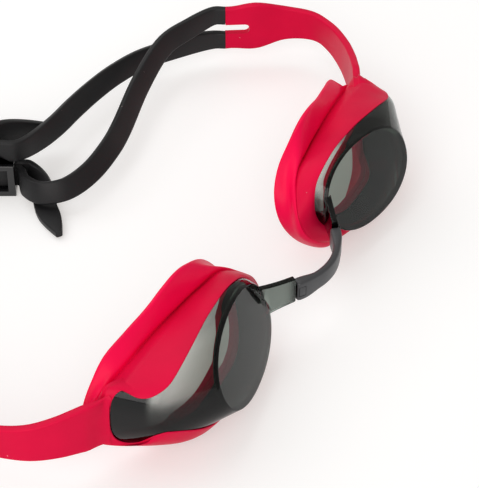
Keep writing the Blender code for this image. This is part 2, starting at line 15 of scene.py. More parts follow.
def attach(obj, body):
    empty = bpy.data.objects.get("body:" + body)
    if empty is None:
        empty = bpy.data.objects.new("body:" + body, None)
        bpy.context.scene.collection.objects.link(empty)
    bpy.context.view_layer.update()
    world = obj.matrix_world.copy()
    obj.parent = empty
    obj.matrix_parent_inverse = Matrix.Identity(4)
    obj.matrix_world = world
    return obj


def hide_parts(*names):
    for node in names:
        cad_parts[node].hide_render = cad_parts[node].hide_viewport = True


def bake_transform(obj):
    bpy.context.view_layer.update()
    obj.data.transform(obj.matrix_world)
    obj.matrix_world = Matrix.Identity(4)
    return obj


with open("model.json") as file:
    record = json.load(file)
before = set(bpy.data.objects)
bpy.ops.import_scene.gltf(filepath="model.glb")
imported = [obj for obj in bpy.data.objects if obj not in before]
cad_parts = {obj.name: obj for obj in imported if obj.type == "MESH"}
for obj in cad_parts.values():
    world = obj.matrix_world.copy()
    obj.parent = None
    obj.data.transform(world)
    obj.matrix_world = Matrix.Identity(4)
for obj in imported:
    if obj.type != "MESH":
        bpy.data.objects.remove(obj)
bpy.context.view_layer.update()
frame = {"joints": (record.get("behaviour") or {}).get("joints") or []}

# Camera, as it stood for the photograph; the point it looks at is seen from the goggles' middle
CAMERA_AZIMUTH = math.radians(-63.19)
CAMERA_ELEVATION = math.radians(40.0)
CAMERA_DISTANCE = 0.4491
CAMERA_LOOKS_AT = Vector((0.00136, 0.01999, 0.01304))
CAMERA_SENSOR_MM = 36.0
CAMERA_LENS_MM = 133.43
CAMERA_NEAR = 0.01

# Lens: a raked front plate with a wall behind it
LENS_SPACING = 0.070
LENS_CENTRE_HEIGHT = 0.0172
LENS_WIDTH = 0.0348
LENS_HEIGHT = 0.0222
LENS_WALL = 0.0009
PLATE_THICKNESS = 0.0019
LENS_TOE_IN = math.radians(10.3)
LENS_RAKE = math.radians(19.3)
LENS_DOME = 0.0003
LENS_EDGE = 0.0003
# width of the black line painted round the plate's edge, painted shade for the dark edge that refraction
# gives there
PLATE_RIM = 0.0006
OVAL_SQUARENESS = 2.15
TEMPLE_SQUARENESS = 2.8
RING_STEPS = 144
BAND_STEPS = 288
PLATE_SHARES = (0.04, 0.35, 0.65, 0.88, 0.975)
# share of the wall over which the painted black edge line fades into the wall's darkness
PLATE_RIM_FADE = 0.03
WALL_MIDDLE = 0.6

# Shoulder of the lens wall, its rear edge and the bare wing at the temple
SHOULDER_TEMPLE = 0.0300
SHOULDER_NOSE = 0.0176
SHOULDER_UP = 0.0110
SHOULDER_DOWN = 0.0116
SHOULDER_DEPTH = 0.0070
SHOULDER_LEAN = 0.0012
SHOULDER_RAKE = 0.0055
SHOULDER_ROUNDING = 0.0024
LENS_TUCK = 0.0038
WING_LENGTH = 0.0080
WING_FLARE = 0.0040
WING_DROP = 0.0034
WING_UPPER_ANGLE = math.radians(48.0)
WING_LOWER_ANGLE = math.radians(80.0)
WING_FLAT_SHARE = 0.35

# How far the rear edge is drawn in towards the eye round the cup: (ring angle in degrees, length)
LENS_DRAW_IN = (
    (0, 0.0020), (18, 0.0030), (30, 0.0062), (46, 0.0058), (64, 0.0034), (90, 0.0020), (200, 0.0020),
    (240, 0.0012), (270, 0.0004), (320, 0.0004), (345, 0.0014),
)

# Darkness of the lens wall round the cup: the smoked plastic's own dark at the wing, and painted shade on
# the rest of the wall, darkest at the bottom, for the dark inside of the cup seen through it: (ring angle
# in degrees, 0 clear to 1 black)
WALL_SMOKE_AND_PAINTED_SHADE = (
    (0, 0.95), (9, 0.78), (18, 0.34), (32, 0.10), (62, 0.00), (80, 0.35), (94, 0.55), (106, 0.10),
    (152, 0.10), (168, 0.80), (200, 0.95), (260, 1.00), (348, 1.00),
)

# Band round the cup: (ring angle, wall angle and wall share of its front edge, swell of its face,
# swell of its ridge, place of its ridge between edge and crease)
BAND_EDGE = (
    (5, 1, 0.90, 0.0003, 0.0003, 0.74),
    (15, 11, 0.87, 0.0003, 0.0003, 0.70),
    (24, 18, 0.81, 0.0004, 0.0006, 0.58),
    (30, 21.5, 0.75, 0.0006, 0.0012, 0.48),
    (34, 20.0, 0.60, 0.0010, 0.0020, 0.48),
    (38, 18.2, 0.42, 0.0013, 0.0024, 0.52),
    (43, 20.5, 0.24, 0.0013, 0.0024, 0.58),
    (48, 27, 0.11, 0.0011, 0.0021, 0.64),
    (54, 36, 0.00, 0.0008, 0.0018, 0.69),
    (65, 51, -0.10, 0.0005, 0.0012, 0.72),
    (78, 68, -0.08, 0.0005, 0.0009, 0.74),
    (92, 87, 0.05, 0.0005, 0.0007, 0.76),
    (107, 104, 0.08, 0.0004, 0.0006, 0.78),
    (124, 123, 0.05, 0.0003, 0.0005, 0.78),
    (147, 147, 0.07, 0.0003, 0.0003, 0.78),
    (167, 167, -0.04, 0.0003, 0.0003, 0.78),
    (190, 190, -0.13, 0.0003, 0.0003, 0.78),
    (212, 212, -0.12, 0.0005, 0.0005, 0.78),
    (240, 240, -0.14, 0.0009, 0.0009, 0.78),
    (266, 268, -0.24, 0.0013, 0.0012, 0.78),
    (284, 290, -0.36, 0.0017, 0.0014, 0.78),
    (299, 314, -0.40, 0.0020, 0.0015, 0.78),
    (310, 336, -0.29, 0.0021, 0.0014, 0.78),
    (318, 348, -0.05, 0.0018, 0.0012, 0.78),
    (322, 346, 0.18, 0.0014, 0.0010, 0.78),
    (326, 339, 0.38, 0.0010, 0.0008, 0.78),
    (331, 334, 0.60, 0.0007, 0.0006, 0.78),
    (338, 334.5, 0.80, 0.0004, 0.0004, 0.78),
    (346, 342, 0.92, 0.0003, 0.0003, 0.78),
    (355, 352, 0.93, 0.0003, 0.0003, 0.76),
)
BAND_LIP_HEIGHT = 0.0003
BAND_LIP = 0.0012
BAND_LIP_ROUNDING = 0.0002
BAND_RIDGE_ROUNDING = 0.0009
BAND_FACE_SHARE = 0.42
BAND_UNDER_SHARES = (0.2, 0.4, 0.6, 0.8)

# Crease between band and face seal, one point every 15 degrees from the temple over the top
CREASE = (
    (0.0350, 0.0208, -0.0010), (0.0329, 0.0206, 0.0018), (0.0296, 0.0199, 0.0032),
    (0.0260, 0.0188, 0.0049), (0.0210, 0.0179, 0.0063), (0.0134, 0.0174, 0.0070),
    (-0.0002, 0.0161, 0.0072), (-0.0071, 0.0151, 0.0071), (-0.0128, 0.0141, 0.0070),
    (-0.0168, 0.0126, 0.0051), (-0.0198, 0.0111, 0.0028), (-0.0221, 0.0095, 0.0005),
    (-0.0228, 0.0082, -0.0020), (-0.0224, 0.0069, -0.0047), (-0.0207, 0.0056, -0.0072),
    (-0.0175, 0.0046, -0.0100), (-0.0129, 0.0042, -0.0126), (-0.0070, 0.0048, -0.0142),
    (0.0000, 0.0056, -0.0150), (0.0141, 0.0080, -0.0148), (0.0225, 0.0104, -0.0142),
    (0.0288, 0.0138, -0.0117), (0.0330, 0.0172, -0.0091), (0.0351, 0.0199, -0.0080),
)
CREASE_ROUNDING = 0.0003

# Face seal: its rim, one point every 15 degrees, a roll beside the crease and a shallow flute
RIM = (
    (0.0342, 0.0233, -0.0022), (0.0334, 0.0238, 0.0002), (0.0300, 0.0236, 0.0038),
    (0.0250, 0.0226, 0.0084), (0.0181, 0.0208, 0.0109), (0.0108, 0.0192, 0.0125),
    (0.0054, 0.0183, 0.0141), (0.0001, 0.0179, 0.0148), (-0.0050, 0.0179, 0.0140),
    (-0.0100, 0.0184, 0.0116), (-0.0148, 0.0187, 0.0080), (-0.0186, 0.0181, 0.0035),
    (-0.0206, 0.0166, -0.0015), (-0.0212, 0.0142, -0.0058), (-0.0203, 0.0107, -0.0095),
    (-0.0175, 0.0069, -0.0124), (-0.0134, 0.0050, -0.0146), (-0.0086, 0.0064, -0.0163),
    (-0.0018, 0.0078, -0.0170), (0.0085, 0.0100, -0.0170), (0.0185, 0.0128, -0.0157),
    (0.0262, 0.0166, -0.0128), (0.0316, 0.0204, -0.0098), (0.0345, 0.0229, -0.0068),
)
SEAL_LIP = 0.0012
SEAL_RIM_ROUNDING = 0.0006
SEAL_FULL_WIDTH = 0.0080
SEAL_ROLL = 0.0011
SEAL_ROLL_SHARE = 0.16
SEAL_FLUTE = 0.0012
SEAL_FLUTE_SHARE = 0.52
SEAL_NOSE_FLUTE = 0.0026
SEAL_NOSE_ANGLE = 160.0
SEAL_NOSE_REACH = 45.0
SEAL_BULGE = 0.0006
MITRE_LIMIT = 2.0
NORMAL_STEP = math.radians(12.0)

# Nose bridge, its sockets and tabs, and the lens arms that the sockets hold
PIN_HALF_SPACING = 0.0108
PIN_DEPTH = -0.0017
PIN_HEIGHT = 0.0163
BRIDGE_ARCH = 0.0038
BRIDGE_THICKNESS = 0.0018
BRIDGE_HEIGHT = 0.0048
BRIDGE_ROUNDING = 0.0007
BRIDGE_STEPS = 24
BRIDGE_END_STOPS = (0.0, 0.0001, 0.0003)
BRIDGE_END_DRAW_IN = (0.8, 0.5, 0.2, 0.05, 0.0)
SOCKET_START_SHARE = 0.5
SOCKET_FULL_SHARE = 0.95
SOCKET_MOUTH = 0.0006
SOCKET_HEIGHT = 0.0056
SOCKET_THICKNESS = 0.0027
SLOT_THICKNESS = 0.0015
SLOT_HEIGHT = 0.0040
SLOT_DEPTH = 0.0026
TONGUE_THICKNESS = 0.0008
TONGUE_HEIGHT = 0.0032
TONGUE_LENGTH = 0.0020
ARM_THICKNESS = 0.0016
ARM_HEIGHT = 0.0072
ARM_ROOT_HEIGHT = 0.0096
ARM_LIFT = 0.0005
ARM_GAP = 0.0004
ARM_ROOT = 0.0012
ARM_STOPS = (0.0, 0.03, 0.15, 0.3, 0.45, 0.6, 0.75, 0.9, 1.0)
ARM_SMOKE = 0.38
ARM_DARK_END = 0.0034
TAB_HEIGHT = 0.0026
TAB_LENGTH = 0.0017
TAB_THICKNESS = 0.00045
TAB_SETBACK = 0.00065
TAB_GAP = 0.00012

# Side straps from the temple to the fork, as routes (outward, back) over the table
STRAP_THICKNESS = 0.0020
STRAP_EDGE = 0.0005
STRAP_ROOT_BLEND = 0.0060
STRAP_ROOT_PROUD = 0.0002
STRAP_ROOT_SUNK = 0.0003
STRAP_ROOT_HEIGHT = 0.0150
STRAP_WAIST_HEIGHT = 0.0084
STRAP_WAIST_SHARE = 0.56
STRAP_FORK_HEIGHT = 0.0136
STRAP_WAIST_CURVE = 1.25
STRAP_FORK_FLARE = 0.0030
STRAP_FLARE_START = 0.66
STRAP_FLARE_SKEW = 1.8
STRAP_ROOT_LEVEL = 0.0162
STRAP_FORK_LEVEL = 0.0130
STRAP_STEPS = 72
STRAP_ROWS = 8
FORK_LENGTH = 0.0070
FORK_SLIT = 0.0016
FORK_OPENING = 0.0030
FORK_ROUNDING_SHARE = 0.45
FORK_TAPER = 0.0090
LEFT_STRAP_ROUTE = (
    (0.0683, 0.0178),
    (0.0736, 0.0211),
    (0.0798, 0.0249),
    (0.0868, 0.0303),
    (0.0935, 0.0374),
    (0.0971, 0.0446),
    (0.0956, 0.0528),
    (0.0910, 0.0600),
    (0.0865, 0.0676),
)
RIGHT_STRAP_ROUTE = (
    (0.0693, 0.0164),
    (0.0728, 0.0202),
    (0.0778, 0.0246),
    (0.0816, 0.0294),
    (0.0838, 0.0353),
    (0.0853, 0.0432),
    (0.0872, 0.0515),
    (0.0874, 0.0600),
    (0.0868, 0.0676),
)

# Black strands: each route is (x, y, height, lean in degrees) from the fork to the buckle
LEFT_CROSSING_ROUTE = (
    (0.0775, 0.0745, 0.0160, 10.0),
    (0.0680, 0.0778, 0.0145, 22.0),
    (0.0527, 0.0768, 0.0115, 34.0),
    (0.0347, 0.0728, 0.0095, 40.0),
    (0.0248, 0.0712, 0.0090, 38.0),
    (0.0150, 0.0714, 0.0080, 32.0),
    (0.0071, 0.0740, 0.0072, 28.0),
    (0.0036, 0.0796, 0.0064, 20.0),
    (0.0050, 0.0852, 0.0057, 8.0),
)
LEFT_STRAIGHT_ROUTE = (
    (0.0780, 0.0765, 0.0091, 6.0),
    (0.0668, 0.0838, 0.0092, 18.0),
    (0.0563, 0.0868, 0.0096, 28.0),
    (0.0462, 0.0880, 0.0100, 34.0),
    (0.0356, 0.0882, 0.0106, 34.0),
    (0.0256, 0.0879, 0.0112, 28.0),
    (0.0163, 0.0882, 0.0122, 14.0),
)
RIGHT_UPPER_ROUTE = (
    (-0.0800, 0.0810, 0.0162, 0.0),
    (-0.0660, 0.1000, 0.0154, -4.0),
    (-0.0480, 0.1180, 0.0146, -6.0),
    (-0.0310, 0.1310, 0.0140, -4.0),
    (-0.0170, 0.1370, 0.0136, 0.0),
)
RIGHT_LOWER_ROUTE = (
    (-0.0800, 0.0800, 0.0086, 0.0),
    (-0.0655, 0.0980, 0.0078, 4.0),
    (-0.0475, 0.1155, 0.0068, 6.0),
    (-0.0305, 0.1295, 0.0058, 4.0),
    (-0.0170, 0.1365, 0.0052, 0.0),
)
RIGHT_UPPER_TAIL = (
    (0.0085, 0.0985, 0.0145, 0.0),
    (0.0124, 0.0968, 0.0150, 0.0),
    (0.0188, 0.0940, 0.0120, 4.0),
    (0.0267, 0.0903, 0.0069, 8.0),
)
RIGHT_LOWER_TAIL = (
    (0.0122, 0.0886, 0.0043, -14.0),
    (0.0106, 0.0846, 0.0030, -50.0),
    (0.0072, 0.0814, 0.0020, -78.0),
    (0.0032, 0.0780, 0.0016, -86.0),
    (-0.0005, 0.0738, 0.0016, -86.0),
    (-0.0040, 0.0698, 0.0016, -86.0),
)
STRAND_STEPS = 130
STRAND_PLAY = 0.0004
STRAND_LEAD = 0.0080
TAIL_LEAD = 0.0010
TAIL_TAPER = 0.0100
TAIL_TIP_SHARE = 0.3

# Buckle at the back: two rows for the strands, set off from each other along its axis
BUCKLE_CENTRE = Vector((0.0027, 0.1044))
BUCKLE_TURN = math.radians(117.0)
BUCKLE_LENGTH = 0.0300
BUCKLE_ROW_LENGTH = 0.0200
BUCKLE_RAIL = 0.0016
BUCKLE_BAR = 0.0014
BUCKLE_BAR_WIDTH = 0.0020
BUCKLE_BAR_COUNT = 3
BUCKLE_ROUNDING = 0.0006
BUCKLE_RUN_STEPS = 8

# Clearance between pieces that touch, how corners are rounded and which edges look sharp
FIT = 0.0001
LONG = 1.0
LONGEST_CUT = 0.48
CORNER_STEPS = 4
FLAT_CORNER_STEPS = 3
BEVEL_STEPS = 3
BEVEL_ANGLE = math.radians(40.0)
SMOOTH_ANGLE = math.radians(35.0)
MERGE_DISTANCE = 0.000001

# Colours of the finishes, in linear light, and how the smoke lens passes light
CRIMSON = (0.720, 0.004, 0.050)
BRIGHT_RED = (0.950, 0.002, 0.068)
SILICONE_BLACK = (0.010, 0.010, 0.011)
GLOSS_BLACK = (0.006, 0.006, 0.007)
GRAPHITE = (0.045, 0.046, 0.050)
DUST = (0.75, 0.60, 0.58)
SMOKE_SURFACE = (0.96, 0.98, 0.97)
# near black of the lens at full darkness: the smoked wing, and painted shade on the lower wall and round
# the plate's edge
SMOKE_AND_SHADE_BLACK = (0.012, 0.013, 0.014)
SMOKE_ABSORPTION = (0.04, 0.16, 0.08)
SMOKE_DENSITY = 660.0
SMOKE_IOR = 1.33
SMOKE_SHADE = (0.62, 0.64, 0.63)
SMOKE_CLOUD_SIZE = 0.009
SMOKE_ROUGHNESS = 0.02

# How far the tone and the roughness of a moulded finish wander, and how strong its grain and dust are
TONE_SPREAD = 0.14
ROUGHNESS_SPREAD = 0.07
GRAIN_STRENGTH = 0.35
DUST_STRENGTH = 0.55

# Paper floor and light; a lamp stands (right, away, up) as the camera sees it
FLOOR_SIZE = 3.0
PAPER = (0.65, 0.67, 0.69)
PAPER_ROUGHNESS = 0.9
PAPER_GLOW = (1.0, 0.96, 0.92)
PAPER_GLOW_STRENGTH = 0.44
KEY_LAMP_STANDS = (-0.55, 0.35, 1.0)
KEY_LAMP_DISTANCE = 0.80
KEY_LAMP_SIZE = 0.80
KEY_LAMP_WATTS = 2.4
KEY_LAMP_COLOUR = (1.0, 1.0, 1.0)
FRONT_LAMP_STANDS = (-0.2, -0.9, 0.45)
FRONT_LAMP_DISTANCE = 2.40
FRONT_LAMP_SIZE = 2.10
FRONT_LAMP_WATTS = 37.0
FRONT_LAMP_COLOUR = (1.0, 0.98, 0.96)
SKY = (1.0, 0.97, 0.94)
SKY_STRENGTH = 0.46

# Sizes that follow from the ones above
BACK = Vector((0.0, 1.0, 0.0))
UP = Vector((0.0, 0.0, 1.0))
STRAND_HEIGHT = (STRAP_FORK_HEIGHT - FORK_SLIT) / 2
FORK_OFFSET = (STRAND_HEIGHT + FORK_SLIT) / 2
ROW_HEIGHT = STRAND_HEIGHT + 2 * STRAND_PLAY
LOWER_ROW = BUCKLE_RAIL + ROW_HEIGHT / 2
UPPER_ROW = LOWER_ROW + ROW_HEIGHT + BUCKLE_RAIL
LAYER_OFFSET = (STRAP_THICKNESS + STRAND_PLAY) / 2
SLOT_HALF_DEPTH = STRAP_THICKNESS + 1.5 * STRAND_PLAY
BUCKLE_AXIS = Vector((math.cos(BUCKLE_TURN), math.sin(BUCKLE_TURN)))
BUCKLE_FACE = Vector((BUCKLE_AXIS.y, -BUCKLE_AXIS.x))
SOCKET_TURN = math.atan2(2 * BRIDGE_ARCH, PIN_HALF_SPACING)
PINS = {joint["name"]: Vector(joint["pos_m"]) for joint in frame["joints"] if "pos_m" in joint}
MIDDLE = (PINS["cup_left_pivot"] + PINS["cup_right_pivot"]) / 2 - Vector((0.0, PIN_DEPTH, PIN_HEIGHT))
LEFT_CUP = MIDDLE + Vector((LENS_SPACING / 2, 0.0, LENS_CENTRE_HEIGHT))


# Working as by hand: selection, edit mode, modifiers
def drop_selection():
    bpy.ops.object.select_all(action="DESELECT")


def pick(obj):
    drop_selection()
    obj.select_set(True)
    bpy.context.view_layer.objects.active = obj


def rename(obj, name):
    obj.name = name
    obj.data.name = name
    return obj


def smooth(obj):
    pick(obj)
    bpy.ops.object.shade_smooth_by_angle(angle=SMOOTH_ANGLE)
    return obj


def apply_modifier(obj, kind, **settings):
    pick(obj)
    modifier = obj.modifiers.new(kind.lower(), kind)
    for key, value in settings.items():
        setattr(modifier, key, value)
    bpy.ops.object.modifier_apply(modifier=modifier.name)


def combine(obj, tool, operation):
    """Join a tool to a piece or cut it away, and remove the tool."""
    apply_modifier(obj, "BOOLEAN", operation=operation, solver="EXACT", object=tool)
    bpy.data.objects.remove(tool, do_unlink=True)


def extrude_through(name, loops, wrap):
    """Add a circle on the first loop and extrude it from loop to loop.

    A wrapped piece runs back to its first loop; the others get their two ends filled.
    """
    drop_selection()
    count = len(loops[0])
    bpy.ops.mesh.primitive_circle_add(vertices=count, fill_type="NOTHING")
    piece = rename(bpy.context.object, name)
    bpy.ops.object.mode_set(mode="EDIT")
    stops = list(loops) + ([loops[0]] if wrap else [])
    for i, loop in enumerate(stops):
        if i:
            bpy.ops.mesh.extrude_region_move()
        mesh = bmesh.from_edit_mesh(piece.data)
        mesh.verts.ensure_lookup_table()
        for vert, point in zip(mesh.verts[-count:], loop):
            vert.co = point
        bmesh.update_edit_mesh(piece.data)
    bpy.ops.mesh.select_all(action="SELECT")
    if wrap:
        bpy.ops.mesh.remove_doubles(threshold=MERGE_DISTANCE)
    else:
        bpy.ops.mesh.fill_holes(sides=0)
    bpy.ops.mesh.select_all(action="SELECT")
    bpy.ops.mesh.normals_make_consistent(inside=False)
    bpy.ops.object.mode_set(mode="OBJECT")
    return smooth(piece)


def rounded_block(name, size, centre, turn, rounding):
    """A cube at its size and place, turned about Z, with its edges bevelled."""
    drop_selection()
    bpy.ops.mesh.primitive_cube_add(size=1.0)
    piece = rename(bpy.context.object, name)
    bpy.ops.object.mode_set(mode="EDIT")
    bpy.ops.transform.resize(value=size)
    if rounding:
        bpy.ops.mesh.bevel(offset=rounding, segments=BEVEL_STEPS, affect="EDGES")
    bpy.ops.object.mode_set(mode="OBJECT")
    piece.data.transform(Matrix.Translation(centre) @ Matrix.Rotation(turn, 4, "Z"))
    return smooth(piece)


def mirrored_copy(piece, name):
    """A copy on the other side of the goggles' middle plane, with its own mesh."""
    pick(piece)
    bpy.ops.object.duplicate()
    copy = rename(bpy.context.object, name)
    bpy.ops.object.mode_set(mode="EDIT")
    bpy.ops.mesh.select_all(action="SELECT")
    bpy.ops.transform.resize(value=(-1, 1, 1), center_override=MIDDLE)
    bpy.ops.mesh.normals_make_consistent(inside=False)
    bpy.ops.object.mode_set(mode="OBJECT")
    return smooth(copy)


# Lines and sections
def soften(corners, wrap, steps=CORNER_STEPS):
    """Round each corner of a line by a short curve.

    A corner is (point, length cut from each side), and a LONG cut takes as much as there is.
    """
    points = []
    last = len(corners) - 1
    for i, (corner, cut) in enumerate(corners):
        if not wrap and i in (0, last):
            points.append(corner)
            continue
        before = corners[i - 1][0] - corner
        after = corners[(i + 1) % len(corners)][0] - corner
        enter = corner + before * min(cut / before.length, LONGEST_CUT)
        leave = corner + after * min(cut / after.length, LONGEST_CUT)
        for k in range(steps + 1):
            t = k / steps
            points.append(enter.lerp(corner, t).lerp(corner.lerp(leave, t), t))
    return points


def spline_point(a, b, c, d, t):
    """Point of a Catmull-Rom curve between b, at t 0, and c, at t 1, with their neighbours a and d."""
    curve = 2 * b + (c - a) * t + (2 * a - 5 * b + 4 * c - d) * t ** 2
    return (curve + (3 * b - a - 3 * c + d) * t ** 3) / 2


def smooth_route(points, steps):
    """Points along a smooth curve through the given points, ends included."""
    knots = [Vector(point) for point in points]
    knots.insert(0, 2 * knots[0] - knots[1])
    knots.append(2 * knots[-1] - knots[-2])
    spans = len(knots) - 3
    route = []
    for i in range(steps + 1):
        place_on_curve = spans * i / steps
        span = min(int(place_on_curve), spans - 1)
        route.append(spline_point(*knots[span:span + 4], place_on_curve - span))
    return route


def ease(value, start, end):
    """0 before start, 1 after end, and a smooth rise between them."""
    t = min(max((value - start) / (end - start), 0.0), 1.0)
    return t * t * (3 - 2 * t)


def flat_section(thickness, height, rounding, rows=1):
    """Outline (across, up) of a flat strap with rounded edges; each face is cut into rows."""
    across = thickness / 2
    levels = [height * (k / rows - 0.5) for k in range(rows + 1)]
    corners = [(across, level) for level in levels] + [(-across, level) for level in reversed(levels)]
    cut = min(rounding, thickness * LONGEST_CUT)
    return soften([(Vector((a, u, 0.0)), cut) for a, u in corners], wrap=True, steps=FLAT_CORNER_STEPS)


def heading_at(route, i):
    return (route[min(i + 1, len(route) - 1)] - route[max(i - 1, 0)]).normalized()


def level_side(heading):
    """Level direction square to a heading, on its right."""
    return Vector((heading.y, -heading.x, 0.0)).normalized()


# Sections of a left cup, round its front plate: x out to the temple, y back, z up
def oval(angle, temple, nose, up, down, temple_squareness=OVAL_SQUARENESS):
    """Point (x, z) of a squarish oval; angle 0 is the temple and a quarter turn the top."""
    c = math.cos(angle)
    s = math.sin(angle)
    power = 2 / (temple_squareness if c > 0 else OVAL_SQUARENESS)
    x = math.copysign(abs(c) ** power, c) * (temple if c > 0 else nose)
    z = math.copysign(abs(s) ** power, s) * (up if s > 0 else down)
    return x, z


def wing_share(angle):
    """1 in the middle of the temple, falling to 0 at the edges of the wing."""
    if angle < math.pi:
        across = angle / WING_UPPER_ANGLE
    else:
        across = (2 * math.pi - angle) / WING_LOWER_ANGLE
    fall = (across - WING_FLAT_SHARE) / (1 - WING_FLAT_SHARE)
    return (1 + math.cos(math.pi * min(max(fall, 0.0), 1.0))) / 2


def nose_share(angle):
    """1 at the upper nose corner of the cup, falling to 0 round it."""
    across = abs(math.degrees(angle) - SEAL_NOSE_ANGLE) / SEAL_NOSE_REACH
    return 1 - ease(across, 0.0, 1.0)


def below(z, down):
    """0 from the middle up, growing to 1 at the bottom."""
    return max(-z / down, 0.0) ** 2


def plate_point(angle, inset, depth, share=1.0):
    """Point of the front plate; share 1 is its edge and 0 its middle."""
    half_width = LENS_WIDTH / 2 - inset
    half_height = LENS_HEIGHT / 2 - inset
    x, z = oval(angle, half_width, half_width, half_height, half_height)
    rake = Matrix.Rotation(-LENS_RAKE, 3, "X")
    toe_in = Matrix.Rotation(-LENS_TOE_IN, 3, "Z")
    dome = LENS_DOME * (1 - share ** 2)
    return toe_in @ rake @ Vector((x * share, depth - dome, z * share))


def shoulder_point(angle, grow):
    temple = SHOULDER_TEMPLE + grow
    x, z = oval(angle, temple, SHOULDER_NOSE + grow, SHOULDER_UP + grow, SHOULDER_DOWN + grow,
                TEMPLE_SQUARENESS)
    rake = SHOULDER_LEAN * x / temple + SHOULDER_RAKE * below(z, SHOULDER_DOWN + grow)
    return Vector((x, SHOULDER_DEPTH - rake, z))


def rear_point(angle, grow):
    wing = wing_share(angle)
    grow = grow + WING_FLARE * wing - ring_values(LENS_DRAW_IN, angle, 1)[1] * (1 - wing)
    x, z = oval(angle, SHOULDER_TEMPLE + grow, SHOULDER_NOSE + grow, SHOULDER_UP + grow,
                SHOULDER_DOWN + grow, TEMPLE_SQUARENESS)
    depth = shoulder_point(angle, 0.0).y + LENS_TUCK + WING_LENGTH * wing
    return Vector((x, depth, z - WING_DROP * wing * max(-math.sin(angle), 0.0)))


def wall_point(angle, share, grow):
    """Point of the outer wall.

    Share -1 is the plate's edge, 0 the rounded shoulder and 1 the rear edge.
    """
    plate = plate_point(angle, -grow, 0.0)
    shoulder = shoulder_point(angle, grow)
    rear = rear_point(angle, grow)
    front_cut = min(SHOULDER_ROUNDING / (plate - shoulder).length, LONGEST_CUT)
    rear_cut = min(SHOULDER_ROUNDING / (rear - shoulder).length, LONGEST_CUT)
    if share < -front_cut:
        return shoulder.lerp(plate, -share)
    if share > rear_cut:
        return shoulder.lerp(rear, share)
    t = (share + front_cut) / (front_cut + rear_cut)
    enter = shoulder.lerp(plate, front_cut)
    leave = shoulder.lerp(rear, rear_cut)
    return enter.lerp(shoulder, t).lerp(shoulder.lerp(leave, t), t)


def ring_point(points, angle):
    """Point on the closed curve through evenly spaced ring points."""
    count = len(points)
    place_on_ring = count * angle / (2 * math.pi)
    span = int(place_on_ring)
    around = [Vector(points[(span + k) % count]) for k in (-1, 0, 1, 2)]
    return spline_point(*around, place_on_ring - span)


def ring_values(rows, angle, turning):
    """Smooth values between the rows of a ring table, which start with the ring angle in degrees.

    The first turning columns are angles, which grow by a full turn from the last row to the first.
    """
    degrees = math.degrees(angle)
    turn = Vector([360.0 if k < turning else 0.0 for k in range(len(rows[0]))])
    knots = [Vector(row) for row in rows]
    knots = [knot - turn for knot in knots[-2:]] + knots + [knot + turn for knot in knots[:2]]
    span = max(i for i in range(1, len(knots) - 2) if knots[i][0] <= degrees)
    a, b, c, d = knots[span - 1:span + 3]
    gap = c[0] - b[0]
    t = (degrees - b[0]) / gap
    leave = (c - a) * (gap / (c[0] - a[0]))
    arrive = (d - b) * (gap / (d[0] - b[0]))
    curve = b + leave * t + (3 * (c - b) - 2 * leave - arrive) * t ** 2
    return curve + (2 * (b - c) + leave + arrive) * t ** 3


def outward(angle):
    across = SHOULDER_TEMPLE if math.cos(angle) > 0 else SHOULDER_NOSE
    return Vector((math.cos(angle) / across, 0.0, math.sin(angle) / SHOULDER_UP)).normalized()


def front_normal(angle, start, end):
    """Square to the line from start to end, on the side that faces out and forward."""
    out = outward(angle)
    run = end - start
    return (out * run.y - BACK * run.dot(out)).normalized()


def flange_normal(angle):
    """Square to the face seal's flange, between crease and rim, on its outer side."""
    before = (angle - NORMAL_STEP) % (2 * math.pi)
    after = (angle + NORMAL_STEP) % (2 * math.pi)
    run = ring_point(RIM, angle) - ring_point(CREASE, angle)
    along = Vector()
    for points in (CREASE, RIM):
        along += ring_point(points, after) - ring_point(points, before)
    normal = run.cross(along).normalized()
    return normal if normal.dot(outward(angle)) > 0 else -normal


def root_normal(angle, run):
    """Square to the run of the face seal's root, on its front side, and never turned inwards."""
    out = outward(angle)
    return (out * max(run.y, SEAL_LIP / 2) - BACK * run.dot(out)).normalized()


def mitre_back(point, first, second, thickness):
    """Where the inner face turns, behind a wall that bends at a point from one normal to another."""
    middle = (first + second).normalized()
    stretch = 1 / max(middle.dot(first), 1 / MITRE_LIMIT)
    return point - middle * thickness * stretch


def lens_corners(angle):
    """Corners of a lens section, from the middle of the plate round the wall and back.

    A corner is (point, length cut from each side, darkness).
    """
    front_wall = (plate_point(angle, 0.0, 0.0) - shoulder_point(angle, 0.0)).length
    rim_share = PLATE_RIM / front_wall - 1
    # darkness of the wall here: smoke at the wing, painted shade elsewhere
    wall = ring_values(WALL_SMOKE_AND_PAINTED_SHADE, angle, 1)[1]
    wing = max(wall, wing_share(angle))
    corners = [(plate_point(angle, 0.0, 0.0, share), LONG, 0.0) for share in PLATE_SHARES]
    corners += [
        # painted shade: the plate's edge and the first PLATE_RIM of the wall are painted black for the dark
        # line that refraction gives round the plate
        (plate_point(angle, 0.0, 0.0), LENS_EDGE, 1.0),
        (wall_point(angle, rim_share, 0.0), LENS_EDGE / 2, 1.0),
        (wall_point(angle, rim_share + PLATE_RIM_FADE, 0.0), LENS_EDGE / 2, wall),
        (shoulder_point(angle, 0.0), SHOULDER_ROUNDING, wall),
        (wall_point(angle, WALL_MIDDLE, 0.0), LONG, wing),
        (rear_point(angle, 0.0), LENS_EDGE, wing),
        (rear_point(angle, -LENS_WALL), LENS_EDGE, wing),
        (wall_point(angle, WALL_MIDDLE, -LENS_WALL), LONG, wing),
        (shoulder_point(angle, -LENS_WALL), SHOULDER_ROUNDING, wall),
        (plate_point(angle, LENS_WALL, PLATE_THICKNESS), LENS_EDGE, 0.0),
    ]
    for share in reversed(PLATE_SHARES):
        corners.append((plate_point(angle, LENS_WALL, PLATE_THICKNESS, share), LONG, 0.0))
    return corners


